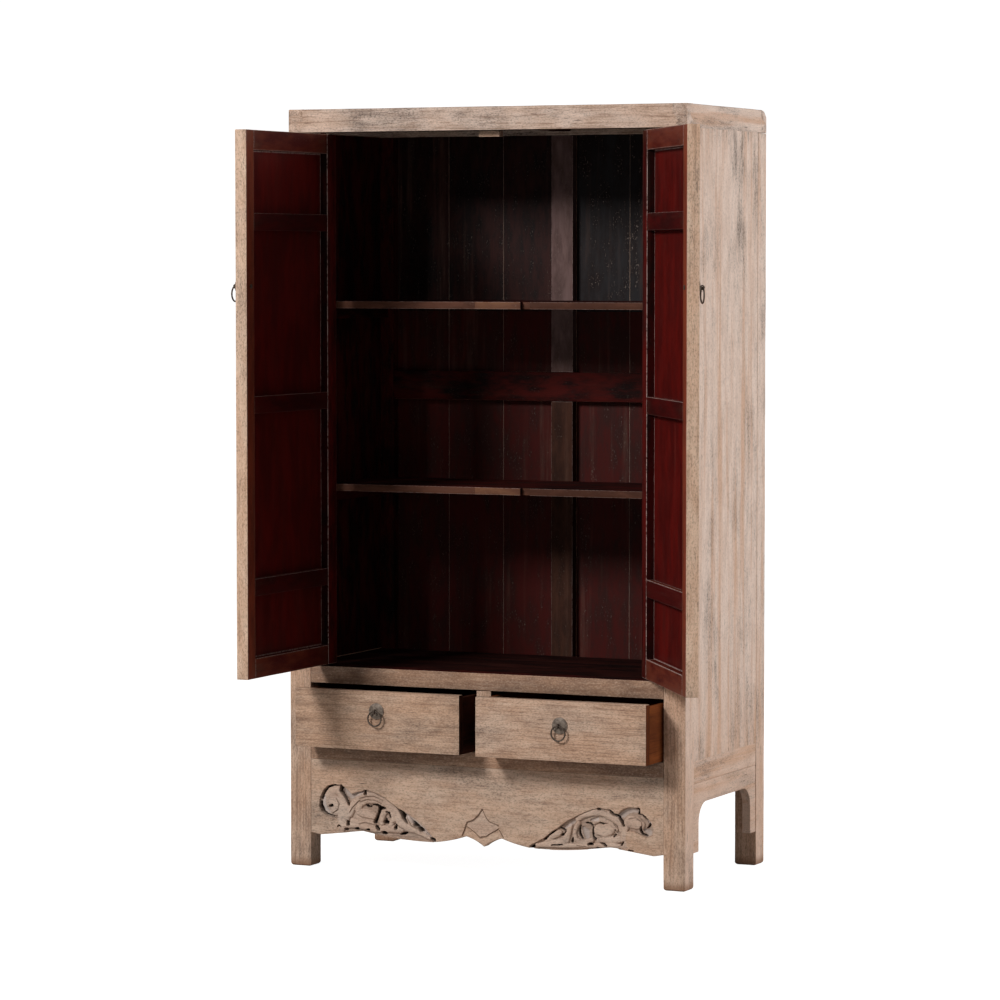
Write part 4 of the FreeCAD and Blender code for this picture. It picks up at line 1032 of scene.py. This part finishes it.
# The lower share of the apron's height is carved, and takes most of the rows of points.
CARVED_HEIGHT, CARVED_ROWS = 0.74, 0.93
# How full the round profiles are, and how much wider than drawn the holes are cut.
RIB_FULLNESS, HOLE_FULLNESS, HOLE_SPREAD = 0.3, 0.4, 1.18
# Depths of the cuts and the hatching in the lozenge, in millimetres.
SLOPE_DEPTH, LINE_DEPTH, FIELD_DEPTH = 3.5, 3.0, 0.8
HATCH_SPACING, HATCH_WIDTH = 7.0, 1.6
HATCH_GROUND = 0.4
# How much dust and painted light the cuts take, and how much dirt and painted shade; the holes' dark is painted
# shade alone.
ZONE_DUST_AND_LIGHT, FIELD_DUST = 0.3, 1 / 3
HOLE_SHADE, CREASE_DIRT_AND_SHADE, LOZENGE_DIRT_AND_SHADE, GROUND_DIRT_AND_SHADE = 1.5, 0.45, 0.6, 0.25
MM = 0.001


def along_line(x, z, points):
    """How far each place is from a line through points, as a share of the line's half-width there."""
    nearest = np.full(x.shape, np.inf)
    for (ax, az, a_width), (bx, bz, b_width) in zip(points, points[1:]):
        run = (bx - ax) ** 2 + (bz - az) ** 2
        share = np.clip(((x - ax) * (bx - ax) + (z - az) * (bz - az)) / run, 0, 1)
        distance = np.hypot(x - ax - share * (bx - ax), z - az - share * (bz - az))
        nearest = np.minimum(nearest, distance / (a_width + share * (b_width - a_width)))
    return nearest


def rounded(x, z, strokes, fullness=0.5, spread=1.0):
    """The round profile, from 0 at the sides to 1 in the middle, of the strokes that reach each place."""
    shares = [along_line(x, z, points) / spread for points in strokes]
    return np.clip(1 - np.min(shares, 0) ** 2, 0, 1) ** fullness


def within(x, z, outline):
    """Which places lie inside a closed outline."""
    inside = np.zeros(x.shape, bool)
    for (ax, az), (bx, bz) in zip(outline, outline[1:] + outline[:1]):
        crosses = (az > z) != (bz > z)
        inside ^= crosses & (x < (bx - ax) * (z - az) / (bz - az + MERGE) + ax)
    return inside


class CABINET_OT_apron(bpy.types.Operator):
    """Carve the front apron: scrolls and pierced leaves at its ends and an incised lozenge in the middle"""

    bl_idname = "cabinet.apron"
    bl_label = "Carved apron"

    def carve(self, x, z, rise):
        """How deep each place is cut, in millimetres, its dust with painted light and its dirt with painted shade;
        rise is over the lower edge.
        """
        sunk = sizes().carving_ground / MM
        pierced = sizes().carving_hole / MM
        from_post = POST_INNER / MM - abs(x)

        def either(measure, left, right, *more):
            return np.where(x < 0, measure(from_post, z, left, *more), measure(from_post, z, right, *more))

        zone = either(within, LEFT_ZONE, RIGHT_ZONE)
        ground = np.where(zone, 1 - either(rounded, LEFT_RIBS, RIGHT_RIBS, RIB_FULLNESS), 0)
        slopes = either(rounded, LEFT_SLOPES, RIGHT_SLOPES)
        creases = either(rounded, LEFT_LINES, RIGHT_LINES)
        lozenge = rounded(x, z, LOZENGE)
        lines = np.maximum(creases, lozenge)
        holes = either(rounded, LEFT_HOLES, RIGHT_HOLES, HOLE_FULLNESS, HOLE_SPREAD)
        lean = np.minimum(abs((x + z) % HATCH_SPACING), abs((x - z) % HATCH_SPACING))
        field = np.where(within(x, z, LOZENGE_FIELD), np.where(lean < HATCH_WIDTH, 1, HATCH_GROUND), 0)
        dished = sunk * ground + SLOPE_DEPTH * slopes
        cuts = (dished, LINE_DEPTH * lines, pierced * holes, FIELD_DEPTH * field)
        arris = sizes().carving_arris / MM
        depth = np.max(cuts, 0) + arris / 2 * np.clip(1 - rise / arris, 0, 1) ** 2
        # Painted light: the whole carved zone and its slopes are lightened, as well as taking the dust that
        # settles there.
        dust = np.clip(slopes + ZONE_DUST_AND_LIGHT * zone + FIELD_DUST * field, 0, 1)
        # Painted shade: the pierced holes are darkened, and the creases, the lozenge and the sunk ground are
        # darkened as shade and dirt.
        grooves = (HOLE_SHADE * holes, CREASE_DIRT_AND_SHADE * creases, LOZENGE_DIRT_AND_SHADE * lozenge, GROUND_DIRT_AND_SHADE * ground**2)
        return depth, dust, np.clip(np.max(grooves, 0), 0, 1)

    def execute(self, context):
        low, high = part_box("front_apron")
        edge = [v.co for v in frame["nodes"]["front_apron"].data.vertices if v.co.z < (low.z + high.z) / 2]
        edge.sort(key=lambda place: place.x)
        columns = int((high.x - low.x) / sizes().carving_step)
        rows = int(CARVED_HEIGHT * (high.z - low.z) / CARVED_ROWS / sizes().carving_step)
        bpy.ops.object.select_all(action="DESELECT")
        bpy.ops.mesh.primitive_grid_add(x_subdivisions=columns, y_subdivisions=rows, size=1)
        piece = bpy.context.object
        flat = np.empty(len(piece.data.vertices) * 3, np.float32)
        piece.data.vertices.foreach_get("co", flat)
        flat = flat.reshape(-1, 3) + 0.5
        x = low.x + flat[:, 0] * (high.x - low.x)
        lower_edge = np.interp(x, [place.x for place in edge], [place.z for place in edge])
        share = np.interp(flat[:, 1], (0, CARVED_ROWS, 1), (0, CARVED_HEIGHT, 1))
        z = lower_edge + share * (high.z - lower_edge)
        # The dust that comes back also carries painted light, and the dirt also carries painted shade.
        depth, dust, dirt = self.carve(x / MM, z / MM, (z - lower_edge) / MM)
        carved = np.stack([x, low.y + depth * MM, z], 1).astype(np.float32)
        piece.data.vertices.foreach_set("co", carved.ravel())
        for name, values in (("carved_dust_and_light", dust), ("carved_dirt_and_shade", dirt)):
            attribute = piece.data.attributes.new(name, "FLOAT", "POINT")
            attribute.data.foreach_set("value", values.astype(np.float32))
        edit(piece, "EDGE", lambda part: part.is_boundary)
        bpy.ops.mesh.extrude_edges_move(TRANSFORM_OT_translate={"value": (0, high.y - low.y, 0)})
        mesh = bmesh.from_edit_mesh(piece.data)
        for vertex in mesh.verts:
            if vertex.select:
                vertex.co.y = high.y
        bmesh.update_edit_mesh(piece.data)
        bpy.ops.mesh.edge_face_add()
        bpy.ops.mesh.select_all(action="SELECT")
        bpy.ops.mesh.normals_make_consistent(inside=False)
        close_edit()
        lay_grain(piece, "apron", X, low, high)
        coat(piece, "bleached apron")
        piece = settle("carved_apron", [piece], "carcass", "front_apron")
        bpy.ops.object.shade_smooth_by_angle(angle=CARVED_ANGLE)
        return {"FINISHED"}


class CABINET_OT_sides(bpy.types.Operator):
    """Dress the boards, lower rails and arched aprons of the sides"""

    bl_idname = "cabinet.sides"
    bl_label = "Sides"

    def halve(self, piece):
        """Cut a board through the middle of its thickness, where its inner coat ends."""
        for outward in SIDES.values():
            edit(piece, "FACE", lambda face: True)
            bpy.ops.mesh.bisect(plane_co=(SIDE_INNER * outward, 0, 0), plane_no=(1, 0, 0))
            close_edit()

    def execute(self, context):
        rails = []
        for (side, outward), rail in zip(SIDES.items(), solid_boxes("side_lower_rails")):
            finished = inside_dark(outward)
            name = f"{side}_side_boards"
            lap = sizes().closed_lap
            box = clipped(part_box(name), Y, POST_DEPTH - lap, lap - POST_DEPTH)
            box = clipped(box, Z, rail[1].z - lap, TOP_UNDERSIDE + lap)
            boards = planks(f"{side} side board", box, SIDE_BOARDS, Y, -lap, Z, finished, self.halve)
            settle(f"worn_{name}", boards, "carcass", name)
            rail_box = clipped(rail, Y, -abs(POST_DEPTH), abs(POST_DEPTH))
            rails.append(board(f"{side} side rail", *rail_box, Y, finished))
            apron = f"{side}_side_apron"
            settle(f"worn_{apron}", [copied(apron, Y, "bleached side")], "carcass", apron)
        settle("worn_side_rails", rails, "carcass", "side_lower_rails")
        return {"FINISHED"}


class CABINET_OT_back(bpy.types.Operator):
    """Dress the rails, muntins and panels of the back"""

    bl_idname = "cabinet.back"
    bl_label = "Back"

    def execute(self, context):
        finished = inside_dark(end=ENDS["back"])
        blackened = max(low.x for low, high in solid_boxes("back_panels"))

        def calm(normal, centre):
            if normal.y > FACING:
                return "bleached elm"
            if centre.z < UPPER_SHELF - sizes().grain_step / 2:
                return "deep panel"
            return "black panel" if centre.x > blackened else "dark panel"

        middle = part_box("back_middle_rail")[1].z

        def rubbed(normal, centre):
            if centre.y > PANEL_FACE:
                return "bleached elm"
            return "rubbed lacquer" if centre.z > middle else "brown muntin"

        for name in ("back_lower_rail", "back_middle_rail"):
            box = clipped(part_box(name), X, -POST_INNER, POST_INNER)
            settle(f"worn_{name}", [board(name, *box, X, finished)], "carcass", name)
        muntins = []
        for low, high in solid_boxes("back_muntins"):
            muntins.append(board(f"muntin {low.z:.2f}", low, high, Z, rubbed))
        settle("worn_back_muntins", muntins, "carcass", "back_muntins")
        panels = []
        for low, high in solid_boxes("back_panels"):
            name = f"back panel {low.x:.2f} {low.z:.2f}"
            panels += planks(name, (low, high), BACK_BOARDS, X, -sizes().closed_lap, Z, calm)
        settle("worn_back_panels", panels, "carcass", "back_panels")
        return {"FINISHED"}


class CABINET_OT_inside(bpy.types.Operator):
    """Dress the floor, the shelves with their notches, the bearers and the drawer runners"""

    bl_idname = "cabinet.inside"
    bl_label = "Inside"

    def notch(self, piece):
        place, half, depth = sizes().notch_place, sizes().notch_width / 2, sizes().notch_depth
        front = min(vertex.co.y for vertex in piece.data.vertices)
        heights = [vertex.co.z for vertex in piece.data.vertices]
        low = Vector((place - half, front - depth, min(heights) - depth))
        high = Vector((place + half, front + depth, max(heights) + depth))
        cutter = box_start("notch", low, high)
        apply_modifier(piece, "BOOLEAN", object=cutter, operation="DIFFERENCE")
        bpy.data.objects.remove(cutter)

    def coat_shelf(self, normal, centre):
        if normal.y > -FACING:
            return "dark lacquer"
        return "rubbed edge" if RUBBED_FROM < centre.x < RUBBED_TO else "brown lacquer"

    def execute(self, context):
        seam = sizes().panel_seam
        floor = planks("floor board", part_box("floor_boards"), FLOOR_BOARDS, Y, seam, X, "dark floor")
        settle("worn_floor_boards", floor, "carcass", "floor_boards")
        for name in ("lower_shelf", "upper_shelf"):
            shelf = board(name, *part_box(name), X, self.coat_shelf, self.notch)
            settle(f"worn_{name}", [shelf], "carcass", name)
        bearers = []
        for low, high in solid_boxes("side_bearers"):
            bearers.append(board(f"bearer {low.x:.2f} {low.z:.2f}", low, high, Y, "dark lacquer"))
        settle("worn_side_bearers", bearers, "carcass", "side_bearers")
        runners = copied("drawer_runners", Y, "dark stain")
        settle("worn_drawer_runners", [runners], "carcass", "drawer_runners")
        return {"FINISHED"}


# A pivot pin's length in radii, the rounding of its end as a share of its radius, and its facets.
PIN_RADII, PIN_ROUNDING, PIN_SIDES = 3, 1 / 6, 24


def door_turn(side):
    """The frame of a door: its pivot at the origin, closed along X, turned open as it stands at rest."""
    joint = next(row for row in frame["joints"] if row["name"] == f"{side}_door_swing")
    opening = -math.radians(joint["range_deg"][0]) * joint["axis"][2]
    pivot = Vector((joint["pos_m"][0], joint["pos_m"][1], 0))
    return Matrix.Translation(pivot) @ Matrix.Rotation(opening, 4, "Z")


class CABINET_OT_doors(bpy.types.Operator):
    """Dress both doors: bleached outside and on their edges, red lacquer inside"""

    bl_idname = "cabinet.doors"
    bl_label = "Doors"

    def lacquer_batten(self, normal, centre):
        if normal.z > FACING:
            return "dusty ledge"
        return "bleached elm" if normal.y < -FACING else "red batten"

    def lacquer_panel(self, normal, centre):
        return "red panel" if normal.y > -FACING else "bleached side"

    def lacquer_stile(self, inner, direction):
        """Lacquer on the inner face, darker on the wall that looks at the panel as painted shade, and bleached
        edges.
        """

        def chosen(normal, centre):
            # The wall that looks at the panel is coated darker as painted shade.
            if normal.x * direction > FACING:
                return "red wall"
            return inner if normal.y > FACING else "bleached edge"

        return chosen

    def lacquer_rail(self, normal, centre):
        outer_edge = normal.z if centre.z > DOOR_MIDDLE else -normal.z
        if outer_edge > FACING:
            return "bleached edge"
        if normal.z > FACING:
            return "dusty ledge"
        return "bleached elm" if normal.y < -FACING else "brown red"

    def pins(self, side, stile, turn):
        """The wooden pivot pins above and below the hinge stile."""
        low, high = solid_boxes(f"{side}_door_hinge_stile", turn)[0]
        radius = (stile[0].z - low.z) / PIN_RADII
        reach = Vector((radius, radius, 0))
        made = []
        for bottom, top in ((low.z, stile[0].z), (stile[1].z, high.z)):
            bpy.ops.object.select_all(action="DESELECT")
            bpy.ops.mesh.primitive_cylinder_add(
                vertices=PIN_SIDES, radius=radius, depth=top - bottom, location=(0, 0, (top + bottom) / 2)
            )
            piece = bpy.context.object
            bpy.ops.object.transform_apply(location=True, rotation=True, scale=True)
            soften(piece, radius * PIN_ROUNDING)
            corners = (Vector((0, 0, bottom)) - reach, Vector((0, 0, top)) + reach)
            lay_grain(piece, f"{side} pin {bottom:.2f}", Z, *corners)
            coat(piece, "dark lacquer")
            place_turned(piece, turn)
            made.append(piece)
        return made

    def execute(self, context):
        for side, outward in SIDES.items():
            turn = door_turn(side)
            body = f"{side}_door"
            toward_free = -outward
            meeting = solid_boxes(f"{body}_meeting_stile", turn)[0]
            hinge = clipped(solid_boxes(f"{body}_hinge_stile", turn)[0], Z, meeting[0].z, meeting[1].z)
            inner = sorted((hinge[0].x, hinge[1].x, meeting[0].x, meeting[1].x))[1:3]
            finished = self.lacquer_stile("red lacquer", toward_free)
            stile = board(f"{body} hinge stile", *hinge, Z, finished, turn=turn)
            pins = self.pins(side, hinge, turn)
            settle(f"worn_{body}_hinge_stile", [stile, *pins], body, f"{body}_hinge_stile")
            finished = self.lacquer_stile("brown stile", -toward_free)
            stile = board(f"{body} meeting stile", *meeting, Z, finished, turn=turn)
            settle(f"worn_{body}_meeting_stile", [stile], body, f"{body}_meeting_stile")
            for kind, finished in (("rails", self.lacquer_rail), ("battens", self.lacquer_batten)):
                bars = []
                for box in solid_boxes(f"{body}_{kind}", turn):
                    box = clipped(box, X, *inner)
                    bars.append(board(f"{body} {kind} {box[0].z:.2f}", *box, X, finished, turn=turn))
                settle(f"worn_{body}_{kind}", bars, body, f"{body}_{kind}")
            rails = solid_boxes(f"{body}_rails", turn)
            let_in = sizes().panel_lap
            bottom = min(box[1].z for box in rails) - let_in
            top = max(box[0].z for box in rails) + let_in
            box = clipped(solid_boxes(f"{body}_panel", turn)[0], X, inner[0] - let_in, inner[1] + let_in)
            box = clipped(box, Z, bottom, top)
            panel = board(f"{body} panel", *box, Z, self.lacquer_panel, turn=turn)
            settle(f"worn_{body}_panel", [panel], body, f"{body}_panel")
        return {"FINISHED"}


class CABINET_OT_drawers(bpy.types.Operator):
    """Dress both drawers: bleached fronts, stained sides, backs and bottoms, the left drawer's box darker partly
    as painted shade
    """

    bl_idname = "cabinet.drawers"
    bl_label = "Drawers"

    def coat_front(self, normal, centre):
        # On the left drawer, the dark stain partly paints the shade between the drawers.
        if normal.y < -FACING or normal.z > FACING:
            return "bleached elm" if centre.x > 0 else "smudged elm"
        return "end stain" if centre.x > 0 else "dark stain"

    def execute(self, context):
        # The left drawer's box takes the dark stain, partly painted shade; the right one's takes the brown stain.
        for side, stain in (("left", "dark stain"), ("right", "brown stain")):
            body = f"{side}_drawer"
            for part, grain, finished in (
                ("front", X, self.coat_front),
                ("sides", Y, stain),
                ("back", X, stain),
                ("bottom", X, stain),
            ):
                name = f"{body}_{part}"
                boards = []
                for index, (low, high) in enumerate(solid_boxes(name)):
                    boards.append(board(f"{name} {index}", low, high, grain, finished))
                settle(f"worn_{name}", boards, body, name)
        return {"FINISHED"}


class CABINET_OT_pulls(bpy.types.Operator):
    """Give the plates, staples and rings of the four pulls their forged iron"""

    bl_idname = "cabinet.pulls"
    bl_label = "Pulls"

    def execute(self, context):
        for name, piece in frame["nodes"].items():
            if SLOTS[name] == "dark_iron":
                piece.data.materials.clear()
                piece.data.materials.append(finish("plate iron" if name.endswith("plate") else "ring iron"))
        return {"FINISHED"}


# The studio, in metres: the floor and the curve up to its backdrop, and a round wall for the other sides.
FLOOR_SIZE, BACKDROP_HEIGHT = 40, 20
CURVE_RADIUS, CURVE_STEPS = 6, 16
FLOOR_CLOUDS, FLOOR_WARMTH = ((2, 2, 2), 2), 0.02
SURROUND_RADIUS, SURROUND_HEIGHT, SURROUND_SIDES = 18.0, 40.0, 96
# Each softbox: where it stands, what it is aimed at and how wide it is.
KEY_BOX = ((-1.9, -5.4, 3.9), (0, -0.2, 0.9), 1.3)
FILL_BOX = ((5.2, 0.9, 2.0), (0.3, 0, 0.9), 2.0)
WHITE = (1, 1, 1, 1)


class CABINET_OT_stage(bpy.types.Operator):
    """Set the pale floor, the softboxes and the camera"""

    bl_idname = "cabinet.stage"
    bl_label = "Stage"

    def softbox(self, name, place, aim, width, power):
        light = bpy.data.lights.new(name, "AREA")
        light.shape = "SQUARE"
        light.size = width
        light.energy = power
        lamp = bpy.data.objects.new(name, light)
        bpy.context.scene.collection.objects.link(lamp)
        lamp.location = place
        lamp.rotation_euler = (Vector(aim) - Vector(place)).to_track_quat("-Z", "Y").to_euler()

    def sweep(self):
        """A floor that curves up into a backdrop far behind."""
        bpy.ops.object.select_all(action="DESELECT")
        bpy.ops.mesh.primitive_plane_add(size=FLOOR_SIZE)
        floor = bpy.context.object
        floor.name = "studio_floor"
        edit(floor, "EDGE", lambda edge: all(vertex.co.y > 0 for vertex in edge.verts))
        bpy.ops.mesh.extrude_edges_move(TRANSFORM_OT_translate={"value": (0, 0, BACKDROP_HEIGHT)})
        close_edit()
        curve = {"width": CURVE_RADIUS, "segments": CURVE_STEPS}
        apply_modifier(floor, "BEVEL", limit_method="ANGLE", angle_limit=BEVEL_ANGLE, **curve)
        bpy.ops.object.shade_smooth()
        material, tree, shader = new_material("studio white", roughness=0.9, specular=0.1)
        place = node(tree, "ShaderNodeTexCoord").outputs["Object"]
        white = shade("floor_white")
        faint = mixed(tree, FLOOR_WARMTH, white, shade("elm_light"))
        uneven = cloud(tree, place, *FLOOR_CLOUDS)
        tree.links.new(mixed(tree, uneven, white, faint), shader["Base Color"])
        shader["Emission Color"].default_value = WHITE
        seen = node(tree, "ShaderNodeLightPath").outputs["Is Camera Ray"]
        glow = times(tree, seen, bpy.context.scene.cabinet_studio.backdrop)
        tree.links.new(glow, shader["Emission Strength"])
        floor.data.materials.append(material)
        surround = self.surround()
        surround.data.materials.append(material)

    def surround(self):
        """A round wall that only the camera sees, so that each side has the same plain backdrop."""
        bpy.ops.object.select_all(action="DESELECT")
        bpy.ops.mesh.primitive_cylinder_add(
            vertices=SURROUND_SIDES, radius=SURROUND_RADIUS, depth=SURROUND_HEIGHT, end_fill_type="NOTHING"
        )
        wall = bpy.context.object
        wall.name = "studio_surround"
        for rays in ("diffuse", "glossy", "transmission", "volume_scatter", "shadow"):
            setattr(wall, f"visible_{rays}", False)
        return wall

    def execute(self, context):
        studio = context.scene.cabinet_studio
        self.sweep()
        self.softbox("key", *KEY_BOX, studio.key_power)
        self.softbox("fill", *FILL_BOX, studio.fill_power)
        world = bpy.data.worlds.new("studio")
        context.scene.world = world
        world.use_nodes = True
        sky = world.node_tree.nodes["Background"].inputs
        sky["Color"].default_value = WHITE
        sky["Strength"].default_value = studio.sky
        camera = bpy.data.objects.new("camera", bpy.data.cameras.new("camera"))
        context.scene.collection.objects.link(camera)
        camera.location = studio.camera_place
        camera.rotation_euler = (math.radians(90) - studio.camera_tilt, 0, studio.camera_turn)
        camera.data.lens = studio.lens
        context.scene.camera = camera
        context.scene.view_settings.view_transform = "Standard"
        return {"FINISHED"}


STEPS = (
    CABINET_OT_posts,
    CABINET_OT_top,
    CABINET_OT_front,
    CABINET_OT_apron,
    CABINET_OT_sides,
    CABINET_OT_back,
    CABINET_OT_inside,
    CABINET_OT_doors,
    CABINET_OT_drawers,
    CABINET_OT_pulls,
    CABINET_OT_stage,
)


class CABINET_PT_sidebar(bpy.types.Panel):
    """The cabinet's sizes, colours, light and steps"""

    bl_idname = "CABINET_PT_sidebar"
    bl_label = "Cabinet"
    bl_space_type = "VIEW_3D"
    bl_region_type = "UI"
    bl_category = "Cabinet"

    def draw(self, context):
        scene = context.scene
        for group in (scene.cabinet_sizes, scene.cabinet_colours, scene.cabinet_studio):
            column = self.layout.column(align=True)
            for name in group.__annotations__:
                column.prop(group, name)
        for operator in STEPS:
            self.layout.operator(operator.bl_idname)


GROUPS = {"cabinet_sizes": CabinetSizes, "cabinet_colours": CabinetColours, "cabinet_studio": CabinetStudio}
CLASSES = (*GROUPS.values(), *STEPS, CABINET_PT_sidebar)


def register():
    for kind in CLASSES:
        bpy.utils.register_class(kind)
    for name, kind in GROUPS.items():
        setattr(bpy.types.Scene, name, bpy.props.PointerProperty(type=kind))


def unregister():
    for name in GROUPS:
        delattr(bpy.types.Scene, name)
    for kind in reversed(CLASSES):
        bpy.utils.unregister_class(kind)


def main():
    register()
    for operator in STEPS:
        getattr(bpy.ops.cabinet, operator.bl_idname.split(".")[1])()


if __name__ == "__main__":
    main()
